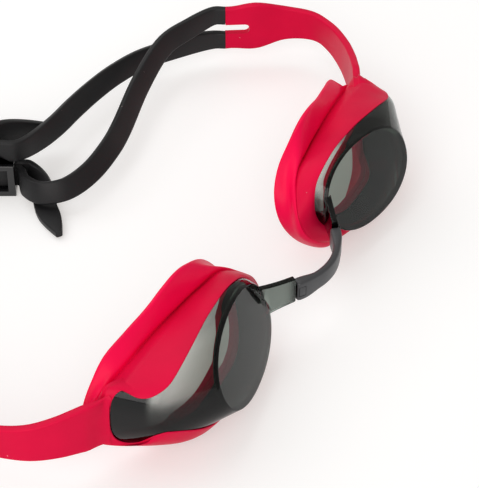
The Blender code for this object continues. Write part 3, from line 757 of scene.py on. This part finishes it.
def lens_section(angle):
    return soften([(point, cut) for point, cut, _ in lens_corners(angle)], wrap=False)


def lens_darkness(angle):
    """Darkness of each point of a lens section, in the same order."""
    shades = [shade for _, _, shade in lens_corners(angle)]
    rounded = [shade for shade in shades[1:-1] for _ in range(CORNER_STEPS + 1)]
    return [shades[0], *rounded, shades[-1]]


def band_section(angle):
    edge = ring_values(BAND_EDGE, angle, 2)
    wall_angle = math.radians(edge[1])
    start = wall_point(wall_angle, edge[2], FIT)
    crease = ring_point(CREASE, angle)
    normal = front_normal(angle, start, crease)
    inner = rear_point(angle, -LENS_WALL)
    corners = [
        (start, FIT),
        (start + normal * BAND_LIP_HEIGHT, BAND_LIP_ROUNDING),
        (start.lerp(crease, BAND_FACE_SHARE * edge[5]) + normal * (BAND_LIP_HEIGHT + edge[3]), LONG),
        (start.lerp(crease, edge[5]) + normal * edge[4], BAND_RIDGE_ROUNDING),
        (crease, CREASE_ROUNDING),
        (inner + BACK * (FIT + BAND_LIP), FIT),
        (inner + BACK * FIT, FIT),
        (rear_point(angle, FIT) + BACK * FIT, FIT),
    ]
    for share in BAND_UNDER_SHARES:
        under = wall_point(angle + (wall_angle - angle) * share, 1 + (edge[2] - 1) * share, FIT)
        corners.append((under, FIT))
    return soften(corners, wrap=True)


def seal_section(angle):
    """Section of the face seal, whose root starts further in than the crease all round."""
    out = outward(angle)
    inner = rear_point(angle, -LENS_WALL) + BACK * (2 * FIT + BAND_LIP)
    crease = ring_point(CREASE, angle) + BACK * FIT
    inner -= out * max((inner - crease).dot(out) + SEAL_LIP, 0.0)
    rim = ring_point(RIM, angle)
    normal = flange_normal(angle)
    root = root_normal(angle, crease - inner)
    nose = nose_share(angle)
    hollow = SEAL_FLUTE * wing_share(angle) + SEAL_NOSE_FLUTE * nose
    flute = crease.lerp(rim, SEAL_FLUTE_SHARE) + normal * (SEAL_BULGE - hollow)
    roll = SEAL_ROLL * (1 - nose) * min((rim - crease).length / SEAL_FULL_WIDTH, 1.0)
    corners = [
        (inner, FIT),
        (crease, CREASE_ROUNDING),
        (crease.lerp(rim, SEAL_ROLL_SHARE) + normal * roll, LONG),
        (flute, LONG),
        (rim, SEAL_RIM_ROUNDING),
        (rim - normal * SEAL_LIP, SEAL_RIM_ROUNDING),
        (flute - normal * SEAL_LIP, LONG),
        (mitre_back(crease, root, normal, SEAL_LIP), LONG),
        (inner - root * SEAL_LIP, FIT),
    ]
    return soften(corners, wrap=True)


def ring_angles(steps):
    return [2 * math.pi * (i + 0.5) / steps for i in range(steps)]


def cup_loops(section, steps):
    """Turn a section function of the angle into loops round the left cup, in the row frame."""
    sections = [[LEFT_CUP + point for point in section(angle)] for angle in ring_angles(steps)]
    return [list(loop) for loop in zip(*sections)]


# Cup pieces
def left_socket():
    """Pin, direction out of the socket and turn about Z of the left bridge socket."""
    pin = MIDDLE + Vector((PIN_HALF_SPACING, PIN_DEPTH, PIN_HEIGHT))
    along = Vector((math.cos(SOCKET_TURN), math.sin(SOCKET_TURN), 0.0))
    return pin, along, SOCKET_TURN


def make_arm():
    """Arm from the nose wall to the bridge, with the tongue that the bridge's socket holds."""
    pin, along, turn = left_socket()
    front = level_side(along)
    nose_wall = LEFT_CUP + (plate_point(math.pi, 0.0, 0.0) + shoulder_point(math.pi, 0.0)) / 2
    arm_start = SOCKET_MOUTH + ARM_GAP
    arm_end = (nose_wall - pin).length + ARM_ROOT
    loops = []
    for share in ARM_STOPS:
        height = ARM_HEIGHT + (ARM_ROOT_HEIGHT - ARM_HEIGHT) * share ** 2
        if share == 0.0:
            height -= LENS_EDGE
        middle = pin + along * (arm_start + (arm_end - arm_start) * share) + UP * ARM_LIFT * (1 - share)
        outline = flat_section(ARM_THICKNESS, height, LENS_EDGE)
        loops.append([middle + front * p.x + UP * p.y for p in outline])
    arm = extrude_through("arm", loops, wrap=False)
    tongue_size = (arm_start + 2 * ARM_GAP + TONGUE_LENGTH, TONGUE_THICKNESS, TONGUE_HEIGHT)
    tongue_middle = pin + along * (arm_start + 2 * ARM_GAP - TONGUE_LENGTH) / 2
    combine(arm, rounded_block("tongue", tongue_size, tongue_middle, turn, LENS_EDGE), "UNION")
    return arm


def make_lens():
    lens = extrude_through("lens_cup_left", cup_loops(lens_section, RING_STEPS), wrap=False)
    shades = zip(*(lens_darkness(angle) for angle in ring_angles(RING_STEPS)))
    darkness = [shade for ring in shades for shade in ring]
    moulded = KDTree(len(darkness))
    for vert in lens.data.vertices:
        moulded.insert(vert.co, vert.index)
    moulded.balance()
    combine(lens, make_arm(), "UNION")
    pin = left_socket()[0]
    # the lens's darkness attribute: smoke at the wing and on the arm, painted shade on the lower wall and
    # round the plate's edge
    depth = lens.data.attributes.new("smoke_and_painted_shade", "FLOAT", "POINT")
    for vert in lens.data.vertices:
        _, nearest, distance = moulded.find(vert.co)
        from_pin = (vert.co.xy - pin.xy).length
        if distance < LENS_EDGE:
            shade = darkness[nearest]
        else:
            # the arm is darker towards the bridge's socket
            shade = 1 - (1 - ARM_SMOKE) * ease(from_pin, SOCKET_MOUTH, ARM_DARK_END)
        depth.data[vert.index].value = shade
    return smooth(lens)


# Nose bridge and tabs
def bridge_route():
    pin, along, _ = left_socket()
    half = [pin + along * (SOCKET_MOUTH - stop) for stop in BRIDGE_END_STOPS]
    for i in range(BRIDGE_STEPS):
        x = PIN_HALF_SPACING * (1 - i / BRIDGE_STEPS)
        depth = PIN_DEPTH - BRIDGE_ARCH * (1 - (x / PIN_HALF_SPACING) ** 2)
        half.append(MIDDLE + Vector((x, depth, PIN_HEIGHT)))
    other = [Vector((2 * MIDDLE.x - p.x, p.y, p.z)) for p in half]
    middle = MIDDLE + Vector((0.0, PIN_DEPTH - BRIDGE_ARCH, PIN_HEIGHT))
    return half + [middle] + other[::-1]


def make_bridge():
    route = bridge_route()
    last = len(route) - 1
    loops = []
    for i, point in enumerate(route):
        across = level_side(heading_at(route, i))
        from_middle = abs(point.x - MIDDLE.x) / PIN_HALF_SPACING
        socket = ease(from_middle, SOCKET_START_SHARE, SOCKET_FULL_SHARE)
        thickness = BRIDGE_THICKNESS + (SOCKET_THICKNESS - BRIDGE_THICKNESS) * socket
        height = BRIDGE_HEIGHT + (SOCKET_HEIGHT - BRIDGE_HEIGHT) * socket
        from_end = min(i, last - i, len(BRIDGE_END_DRAW_IN) - 1)
        drawn_in = BRIDGE_ROUNDING * BRIDGE_END_DRAW_IN[from_end]
        outline = flat_section(thickness - drawn_in, height - drawn_in, BRIDGE_ROUNDING)
        loops.append([point + across * p.x + UP * p.y for p in outline])
    bridge = extrude_through("bridge_strip", loops, wrap=False)
    pin, along, turn = left_socket()
    slot_size = (SLOT_DEPTH + 2 * SOCKET_MOUTH, SLOT_THICKNESS, SLOT_HEIGHT)
    slot_middle = pin + along * (2 * SOCKET_MOUTH - SLOT_DEPTH) / 2
    tab_size = (TAB_LENGTH, TAB_THICKNESS, TAB_HEIGHT)
    tab_middle = pin - along * TAB_SETBACK + level_side(along) * (SOCKET_THICKNESS - TAB_THICKNESS) / 2
    window_size = (TAB_LENGTH + 2 * TAB_GAP, 2 * TAB_THICKNESS, TAB_HEIGHT + 2 * TAB_GAP)
    slot = rounded_block("slot", slot_size, slot_middle, turn, TAB_GAP)
    window = rounded_block("window", window_size, tab_middle, turn, TAB_GAP)
    others = [mirrored_copy(tool, tool.name + "_other") for tool in (slot, window)]
    for tool in (slot, window, *others):
        combine(bridge, tool, "DIFFERENCE")
    return smooth(bridge), rounded_block("bridge_tab_left", tab_size, tab_middle, turn, TAB_GAP)


# Straps and strands
def strap_centre(side):
    flat_route = LEFT_STRAP_ROUTE if side > 0 else RIGHT_STRAP_ROUTE
    route = smooth_route([MIDDLE + Vector((side * x, y, 0.0)) for x, y in flat_route], STRAP_STEPS)
    for i, point in enumerate(route):
        share = i / STRAP_STEPS
        point.z = STRAP_ROOT_LEVEL + (STRAP_FORK_LEVEL - STRAP_ROOT_LEVEL) * share
    return route


def fork_heading(route):
    """Level direction in which a side strap ends."""
    heading = route[-1] - route[-2]
    heading.z = 0.0
    return heading.normalized()


def strap_height(share):
    """Height of a side strap: tall at the root, slim at the waist and flared at the fork."""
    if share < STRAP_WAIST_SHARE:
        end_height = STRAP_ROOT_HEIGHT
        from_waist = 1 - share / STRAP_WAIST_SHARE
    else:
        end_height = STRAP_FORK_HEIGHT
        from_waist = (share - STRAP_WAIST_SHARE) / (1 - STRAP_WAIST_SHARE)
    flare = STRAP_FORK_FLARE * math.sin(math.pi * ease(share, STRAP_FLARE_START, 1.0) ** STRAP_FLARE_SKEW)
    return STRAP_WAIST_HEIGHT + (end_height - STRAP_WAIST_HEIGHT) * from_waist ** STRAP_WAIST_CURVE + flare


def settle_root(strap, band, route, outline, side):
    """Draw a strap's root onto its band, its outer face a little proud and its inner face sunk in."""
    for name, face, offset in (("outer", side, STRAP_ROOT_PROUD), ("inner", -side, -STRAP_ROOT_SUNK)):
        root = strap.vertex_groups.new(name="root_" + name)
        for vert in strap.data.vertices:
            ring, place = divmod(vert.index, len(outline))
            held = 1 - ease((route[ring] - route[0]).length, 0.0, STRAP_ROOT_BLEND)
            if outline[place].x * face > 0:
                root.add([vert.index], held, "REPLACE")
        apply_modifier(strap, "SHRINKWRAP", target=band, vertex_group=root.name, offset=offset)
        strap.vertex_groups.clear()


def make_strap(name, side, band):
    route = strap_centre(side)
    loops = []
    for i, point in enumerate(route):
        across = level_side(heading_at(route, i))
        outline = flat_section(STRAP_THICKNESS, strap_height(i / STRAP_STEPS), STRAP_EDGE, STRAP_ROWS)
        loops.append([point + across * p.x + UP * p.y for p in outline])
    strap = extrude_through(name, loops, wrap=False)
    settle_root(strap, band, route, outline, side)
    ahead = fork_heading(route)
    turn = math.atan2(ahead.y, ahead.x)
    slit_size = (2 * FORK_LENGTH, 4 * STRAP_THICKNESS, FORK_OPENING)
    slit = rounded_block("slit", slit_size, route[-1], turn, FORK_OPENING * FORK_ROUNDING_SHARE)
    combine(strap, slit, "DIFFERENCE")
    return smooth(strap)


def buckle_point(along, layer, row):
    """A knot in the buckle: along its axis, towards one face, at a row's height."""
    flat = BUCKLE_CENTRE + BUCKLE_AXIS * along + BUCKLE_FACE * layer
    return (flat.x, flat.y, row, 0.0)


def buckle_run(start, end, layer, row):
    """Knots that carry a strand straight through a row of the buckle."""
    shares = [i / BUCKLE_RUN_STEPS for i in range(BUCKLE_RUN_STEPS + 1)]
    return [buckle_point(start + (end - start) * share, layer, row) for share in shares]


def fork_points(side, offset):
    """Two knots that carry a strand straight on from its prong of the fork."""
    route = strap_centre(side)
    ahead = fork_heading(route)
    start = route[-1] - MIDDLE + UP * offset
    further = start + ahead * 2 * STRAP_THICKNESS
    return [(*start, 0.0), (*further, 0.0)]


def make_strand(name, knots, notch, taper):
    """A flat strand through its knots.

    The notch is what its start lacks beside the fork's slit, and the taper is the length over which
    its tail narrows.
    """
    route = smooth_route([Vector(knot) for knot in knots], STRAND_STEPS)
    centres = [MIDDLE + knot.to_3d() for knot in route]
    left = [0.0]
    for i in range(len(centres) - 1, 0, -1):
        left.insert(0, left[0] + (centres[i] - centres[i - 1]).length)
    loops = []
    for i, point in enumerate(centres):
        heading = heading_at(centres, i)
        across = level_side(heading)
        lean = Matrix.Rotation(math.radians(route[i][3]), 3, heading)
        height = STRAND_HEIGHT
        if taper:
            full = math.sin(math.pi / 2 * min(left[i] / taper, 1.0))
            height *= TAIL_TIP_SHARE + (1 - TAIL_TIP_SHARE) * full
        trim = notch * (1 - ease(left[0] - left[i], 0.0, FORK_TAPER))
        rise = lean @ across.cross(heading)
        side = lean @ across
        loop = []
        for p in flat_section(STRAP_THICKNESS, height, STRAP_EDGE):
            level = p.y + trim if p.y * notch < 0 else p.y
            loop.append(point + side * p.x + rise * level)
        loops.append(loop)
    return extrude_through(name, loops, wrap=False)


def make_strands():
    far_end = BUCKLE_LENGTH / 2 + STRAND_LEAD
    near_end = -BUCKLE_LENGTH / 2 - TAIL_LEAD
    upper_row_end = BUCKLE_LENGTH / 2 - BUCKLE_ROW_LENGTH - TAIL_LEAD
    to_lower = buckle_run(near_end, far_end, -LAYER_OFFSET, LOWER_ROW)
    to_upper = buckle_run(near_end, far_end, -LAYER_OFFSET, UPPER_ROW)
    from_upper = buckle_run(far_end, upper_row_end, LAYER_OFFSET, UPPER_ROW)
    from_lower = buckle_run(far_end, near_end, LAYER_OFFSET, LOWER_ROW)
    notch = (FORK_OPENING - FORK_SLIT) / 2
    courses = (
        ("strand_left_upper", 1, 1, (*LEFT_CROSSING_ROUTE, *to_lower), 0.0),
        ("strand_left_lower", 1, -1, (*LEFT_STRAIGHT_ROUTE, *to_upper), 0.0),
        ("strand_right_upper", -1, 1, (*RIGHT_UPPER_ROUTE, *from_upper, *RIGHT_UPPER_TAIL), 0.0),
        ("strand_right_lower", -1, -1, (*RIGHT_LOWER_ROUTE, *from_lower, *RIGHT_LOWER_TAIL), TAIL_TAPER),
    )
    strands = {}
    for node, side, prong, course, taper in courses:
        knots = [*fork_points(side, prong * FORK_OFFSET), *course]
        strands[node] = make_strand("black_" + node, knots, prong * notch, taper)
    return strands


# Buckle
def make_buckle():
    depth = 2 * (SLOT_HALF_DEPTH + BUCKLE_BAR)
    height = 2 * ROW_HEIGHT + 3 * BUCKLE_RAIL
    centre = MIDDLE + Vector((*BUCKLE_CENTRE, height / 2))
    buckle = rounded_block("ladder_buckle", (BUCKLE_LENGTH, depth, height), centre, BUCKLE_TURN, 0.0)
    slot_size = (2 * BUCKLE_LENGTH, 2 * SLOT_HALF_DEPTH, ROW_HEIGHT)
    gap = (BUCKLE_ROW_LENGTH - BUCKLE_BAR_COUNT * BUCKLE_BAR_WIDTH) / (BUCKLE_BAR_COUNT - 1)
    window_size = (gap, 2 * depth, ROW_HEIGHT)
    step_size = (2 * (BUCKLE_LENGTH - BUCKLE_ROW_LENGTH), 2 * depth, 2 * (ROW_HEIGHT + BUCKLE_RAIL))
    axis = Vector((*BUCKLE_AXIS, 0.0))
    for row, end in ((LOWER_ROW, -1), (UPPER_ROW, 1)):
        level = UP * (row - height / 2)
        combine(buckle, rounded_block("row", slot_size, centre + level, BUCKLE_TURN, 0.0), "DIFFERENCE")
        corner = centre + UP * end * height / 2 - axis * end * BUCKLE_LENGTH / 2
        combine(buckle, rounded_block("step", step_size, corner, BUCKLE_TURN, 0.0), "DIFFERENCE")
        for i in range(BUCKLE_BAR_COUNT - 1):
            along = BUCKLE_LENGTH / 2 - BUCKLE_BAR_WIDTH - gap / 2 - i * (gap + BUCKLE_BAR_WIDTH)
            middle = centre + level + axis * end * along
            combine(buckle, rounded_block("gap", window_size, middle, BUCKLE_TURN, 0.0), "DIFFERENCE")
    apply_modifier(buckle, "BEVEL", width=BUCKLE_ROUNDING, segments=BEVEL_STEPS, limit_method="ANGLE",
                   angle_limit=BEVEL_ANGLE)
    return smooth(buckle)


# Effects that several finishes share
def new_group(name, inputs, outputs):
    group = bpy.data.node_groups.new(name, "ShaderNodeTree")
    for name_in, value in inputs.items():
        socket = group.interface.new_socket(name_in, in_out="INPUT", socket_type="NodeSocketFloat")
        socket.default_value = value
    for name_out in outputs:
        group.interface.new_socket(name_out, in_out="OUTPUT", socket_type="NodeSocketFloat")
    return group, group.nodes.new("NodeGroupInput"), group.nodes.new("NodeGroupOutput")


def math_node(tree, operation, first, second):
    made = tree.nodes.new("ShaderNodeMath")
    made.operation = operation
    for socket, value in zip(made.inputs, (first, second)):
        if isinstance(value, (int, float)):
            socket.default_value = value
        else:
            tree.links.new(value, socket)
    return made.outputs["Value"]


def make_dust_group():
    """Mask of small specks: one in some of the cells of a grid of the given size."""
    usual = {"Cell size": 0.002, "Share": 0.2, "Speck": 0.08}
    group, given, out = new_group("dust_specks", usual, ["Mask"])
    place = group.nodes.new("ShaderNodeTexCoord")
    cells = group.nodes.new("ShaderNodeTexVoronoi")
    group.links.new(place.outputs["Object"], cells.inputs["Vector"])
    group.links.new(math_node(group, "DIVIDE", 1.0, given.outputs["Cell size"]), cells.inputs["Scale"])
    draw = group.nodes.new("ShaderNodeSeparateColor")
    group.links.new(cells.outputs["Color"], draw.inputs["Color"])
    chosen = math_node(group, "LESS_THAN", draw.outputs["Red"], given.outputs["Share"])
    size = math_node(group, "MULTIPLY", draw.outputs["Green"], given.outputs["Speck"])
    near = math_node(group, "LESS_THAN", cells.outputs["Distance"], size)
    group.links.new(math_node(group, "MULTIPLY", chosen, near), out.inputs["Mask"])
    return group


def make_grain_group():
    """Fine moulded grain, and broad clouds for slow changes of tone."""
    usual = {"Grain size": 0.0004, "Cloud size": 0.012}
    group, given, out = new_group("moulded_grain", usual, ["Grain", "Cloud"])
    place = group.nodes.new("ShaderNodeTexCoord")
    for size, socket, detail in (("Grain size", "Grain", 2.0), ("Cloud size", "Cloud", 3.0)):
        noise = group.nodes.new("ShaderNodeTexNoise")
        noise.inputs["Detail"].default_value = detail
        group.links.new(place.outputs["Object"], noise.inputs["Vector"])
        group.links.new(math_node(group, "DIVIDE", 1.0, given.outputs[size]), noise.inputs["Scale"])
        group.links.new(noise.outputs["Fac"], out.inputs[socket])
    return group


DUST_SPECKS = make_dust_group()
MOULDED_GRAIN = make_grain_group()


# Finishes
def use_group(tree, group, **values):
    made = tree.nodes.new("ShaderNodeGroup")
    made.node_tree = group
    for key, value in values.items():
        made.inputs[key.replace("_", " ")].default_value = value
    return made


def spread(tree, value, low, high):
    """Turn a 0 to 1 value into one from low to high."""
    made = tree.nodes.new("ShaderNodeMapRange")
    made.inputs["To Min"].default_value = low
    made.inputs["To Max"].default_value = high
    tree.links.new(value, made.inputs["Value"])
    return made.outputs["Result"]


def mix_colours(tree, share, first, second):
    made = tree.nodes.new("ShaderNodeMix")
    made.data_type = "RGBA"
    tree.links.new(share, made.inputs["Factor"])
    for socket, value in ((made.inputs["A"], first), (made.inputs["B"], second)):
        if isinstance(value, tuple):
            socket.default_value = (*value, 1.0)
        else:
            tree.links.new(value, socket)
    return made.outputs["Result"]


def scaled(colour, factor):
    return tuple(min(channel * factor, 1.0) for channel in colour)


def moulded_finish(name, colour, roughness, grain, bump, dust_share, shine=0.5, coat=0.0):
    """Moulded silicone or plastic: slow changes of tone, fine grain and a few dust specks."""
    material = bpy.data.materials.new(name)
    material.use_nodes = True
    tree = material.node_tree
    shader = tree.nodes["Principled BSDF"]
    texture = use_group(tree, MOULDED_GRAIN, Grain_size=grain)
    specks = use_group(tree, DUST_SPECKS, Share=dust_share)
    darker = scaled(colour, 1 - TONE_SPREAD)
    lighter = scaled(colour, 1 + TONE_SPREAD)
    tone = mix_colours(tree, texture.outputs["Cloud"], darker, lighter)
    faint = math_node(tree, "MULTIPLY", specks.outputs["Mask"], DUST_STRENGTH)
    tree.links.new(mix_colours(tree, faint, tone, DUST), shader.inputs["Base Color"])
    smoothest = roughness - ROUGHNESS_SPREAD
    roughest = roughness + ROUGHNESS_SPREAD
    tree.links.new(spread(tree, texture.outputs["Grain"], smoothest, roughest), shader.inputs["Roughness"])
    relief = tree.nodes.new("ShaderNodeBump")
    relief.inputs["Strength"].default_value = GRAIN_STRENGTH
    relief.inputs["Distance"].default_value = bump
    tree.links.new(texture.outputs["Grain"], relief.inputs["Height"])
    tree.links.new(relief.outputs["Normal"], shader.inputs["Normal"])
    shader.inputs["Specular IOR Level"].default_value = shine
    shader.inputs["Coat Weight"].default_value = coat
    return material


def smoke_finish():
    """Clear smoke-grey lens: tinted in its thickness, darkened by its attribute with smoke and painted
    shade, and lamps reach what is behind it.
    """
    material = bpy.data.materials.new("smoke_lens")
    material.use_nodes = True
    tree = material.node_tree
    shader = tree.nodes["Principled BSDF"]
    depth = tree.nodes.new("ShaderNodeAttribute")
    depth.attribute_name = "smoke_and_painted_shade"
    # painted shade: the base colour goes to near black where the attribute is dark, on the lower wall and
    # round the plate's edge, beside the smoked wing
    surface = mix_colours(tree, depth.outputs["Fac"], SMOKE_SURFACE, SMOKE_AND_SHADE_BLACK)
    tree.links.new(surface, shader.inputs["Base Color"])
    shader.inputs["Transmission Weight"].default_value = 1.0
    shader.inputs["IOR"].default_value = SMOKE_IOR
    texture = use_group(tree, MOULDED_GRAIN, Cloud_size=SMOKE_CLOUD_SIZE)
    haze = spread(tree, texture.outputs["Cloud"], 0.0, SMOKE_ROUGHNESS)
    tree.links.new(haze, shader.inputs["Roughness"])
    clear = tree.nodes.new("ShaderNodeBsdfTransparent")
    clear.inputs["Color"].default_value = (*SMOKE_SHADE, 1.0)
    path = tree.nodes.new("ShaderNodeLightPath")
    both = tree.nodes.new("ShaderNodeMixShader")
    tree.links.new(path.outputs["Is Shadow Ray"], both.inputs["Fac"])
    tree.links.new(shader.outputs["BSDF"], both.inputs[1])
    tree.links.new(clear.outputs["BSDF"], both.inputs[2])
    output = tree.nodes["Material Output"]
    tree.links.new(both.outputs["Shader"], output.inputs["Surface"])
    tint = tree.nodes.new("ShaderNodeVolumeAbsorption")
    tint.inputs["Color"].default_value = (*SMOKE_ABSORPTION, 1.0)
    tint.inputs["Density"].default_value = SMOKE_DENSITY
    tree.links.new(tint.outputs["Volume"], output.inputs["Volume"])
    return material


FINISHES = {
    "smoke_lens": smoke_finish(),
    "red_band": moulded_finish(
        "red_band", CRIMSON, roughness=0.40, grain=0.0005, bump=0.00004, dust_share=0.16, shine=0.08,
    ),
    "red_seal": moulded_finish(
        "red_seal", BRIGHT_RED, roughness=0.36, grain=0.0005, bump=0.00003, dust_share=0.05, shine=0.12,
    ),
    "black_silicone": moulded_finish(
        "black_silicone", SILICONE_BLACK, roughness=0.50, grain=0.0005, bump=0.00004, dust_share=0.12,
        shine=0.3,
    ),
    "black_plastic": moulded_finish(
        "black_plastic", GLOSS_BLACK, roughness=0.18, grain=0.0015, bump=0.00001, dust_share=0.04, coat=0.3,
    ),
    "graphite_plastic": moulded_finish(
        "graphite_plastic", GRAPHITE, roughness=0.40, grain=0.0003, bump=0.00004, dust_share=0.06,
    ),
}


def dress(piece, slot, node):
    """Give a piece its finish and let it stand for its CAD node."""
    piece.data.materials.clear()
    piece.data.materials.append(FINISHES[slot])
    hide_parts(node)
    return piece


# Build the goggles
def build_cups():
    lens = make_lens()
    band = extrude_through("band_collar_left", cup_loops(band_section, BAND_STEPS), wrap=True)
    seal = extrude_through("face_seal_left", cup_loops(seal_section, RING_STEPS), wrap=True)
    cup_pieces = (("lens", "smoke_lens", lens), ("band", "red_band", band), ("seal", "red_seal", seal))
    for kind, slot, left in cup_pieces:
        right = mirrored_copy(left, left.name.replace("left", "right"))
        for side, piece in (("left", left), ("right", right)):
            dress(piece, slot, kind + "_" + side)
            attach(piece, "cup_" + side)


def build_bridge():
    bridge, left_tab = make_bridge()
    right_tab = mirrored_copy(left_tab, "bridge_tab_right")
    dress(bridge, "graphite_plastic", "nose_bridge")
    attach(bridge, "strap")
    for side, tab in (("left", left_tab), ("right", right_tab)):
        dress(tab, "graphite_plastic", "release_tab_" + side)
        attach(tab, "tab_" + side)


def build_straps():
    for side_name, side in (("left", 1), ("right", -1)):
        strap = make_strap("red_strap_" + side_name, side, bpy.data.objects["band_collar_" + side_name])
        dress(strap, "red_band", "side_strap_" + side_name)
        route = strap_centre(side)
        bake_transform(strap)
    for node, strand in make_strands().items():
        dress(strand, "black_silicone", node)
        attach(strand, "strap")
    buckle = dress(make_buckle(), "black_plastic", "buckle_frame")
    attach(buckle, "buckle")


# Stage, light and camera
def make_floor():
    drop_selection()
    bpy.ops.mesh.primitive_plane_add(size=FLOOR_SIZE)
    floor = rename(bpy.context.object, "floor")
    material = bpy.data.materials.new("floor_paper")
    material.use_nodes = True
    tree = material.node_tree
    shader = tree.nodes["Principled BSDF"]
    shader.inputs["Base Color"].default_value = (*PAPER, 1.0)
    shader.inputs["Roughness"].default_value = PAPER_ROUGHNESS
    shader.inputs["Specular IOR Level"].default_value = 0.0
    path = tree.nodes.new("ShaderNodeLightPath")
    seen = math_node(tree, "MAXIMUM", path.outputs["Is Camera Ray"], path.outputs["Is Glossy Ray"])
    seen = math_node(tree, "MAXIMUM", seen, path.outputs["Is Transmission Ray"])
    glow = math_node(tree, "MULTIPLY", seen, PAPER_GLOW_STRENGTH)
    shader.inputs["Emission Color"].default_value = (*PAPER_GLOW, 1.0)
    tree.links.new(glow, shader.inputs["Emission Strength"])
    floor.data.materials.append(material)


def aim(obj, place, target):
    obj.location = place
    obj.rotation_euler = (target - place).to_track_quat("-Z", "Y").to_euler()


def make_lamp(name, stands, distance, size, watts, colour):
    """A square soft lamp that faces the goggles."""
    drop_selection()
    bpy.ops.object.light_add(type="AREA")
    lamp = rename(bpy.context.object, name)
    lamp.data.shape = "SQUARE"
    lamp.data.size = size
    lamp.data.energy = watts
    lamp.data.color = colour
    towards = Matrix.Rotation(CAMERA_AZIMUTH, 3, "Z") @ Vector(stands)
    target = MIDDLE + CAMERA_LOOKS_AT
    aim(lamp, target + towards.normalized() * distance, target)


def make_light():
    make_lamp("key_lamp", KEY_LAMP_STANDS, KEY_LAMP_DISTANCE, KEY_LAMP_SIZE, KEY_LAMP_WATTS,
              KEY_LAMP_COLOUR)
    make_lamp("front_lamp", FRONT_LAMP_STANDS, FRONT_LAMP_DISTANCE, FRONT_LAMP_SIZE, FRONT_LAMP_WATTS,
              FRONT_LAMP_COLOUR)
    world = bpy.context.scene.world or bpy.data.worlds.new("studio")
    bpy.context.scene.world = world
    world.use_nodes = True
    sky = world.node_tree.nodes["Background"]
    sky.inputs["Color"].default_value = (*SKY, 1.0)
    sky.inputs["Strength"].default_value = SKY_STRENGTH


def make_camera():
    drop_selection()
    bpy.ops.object.camera_add()
    camera = rename(bpy.context.object, "photo_camera")
    camera.data.sensor_fit = "VERTICAL"
    camera.data.sensor_height = CAMERA_SENSOR_MM
    camera.data.lens = CAMERA_LENS_MM
    camera.data.clip_start = CAMERA_NEAR
    target = MIDDLE + CAMERA_LOOKS_AT
    level = math.cos(CAMERA_ELEVATION)
    towards = Vector((math.sin(CAMERA_AZIMUTH) * level, -math.cos(CAMERA_AZIMUTH) * level,
                      math.sin(CAMERA_ELEVATION)))
    aim(camera, target + towards * CAMERA_DISTANCE, target)
    bpy.context.scene.camera = camera


build_cups()
build_bridge()
build_straps()
make_floor()
make_light()
make_camera()
bpy.context.scene.view_settings.view_transform = "Standard"
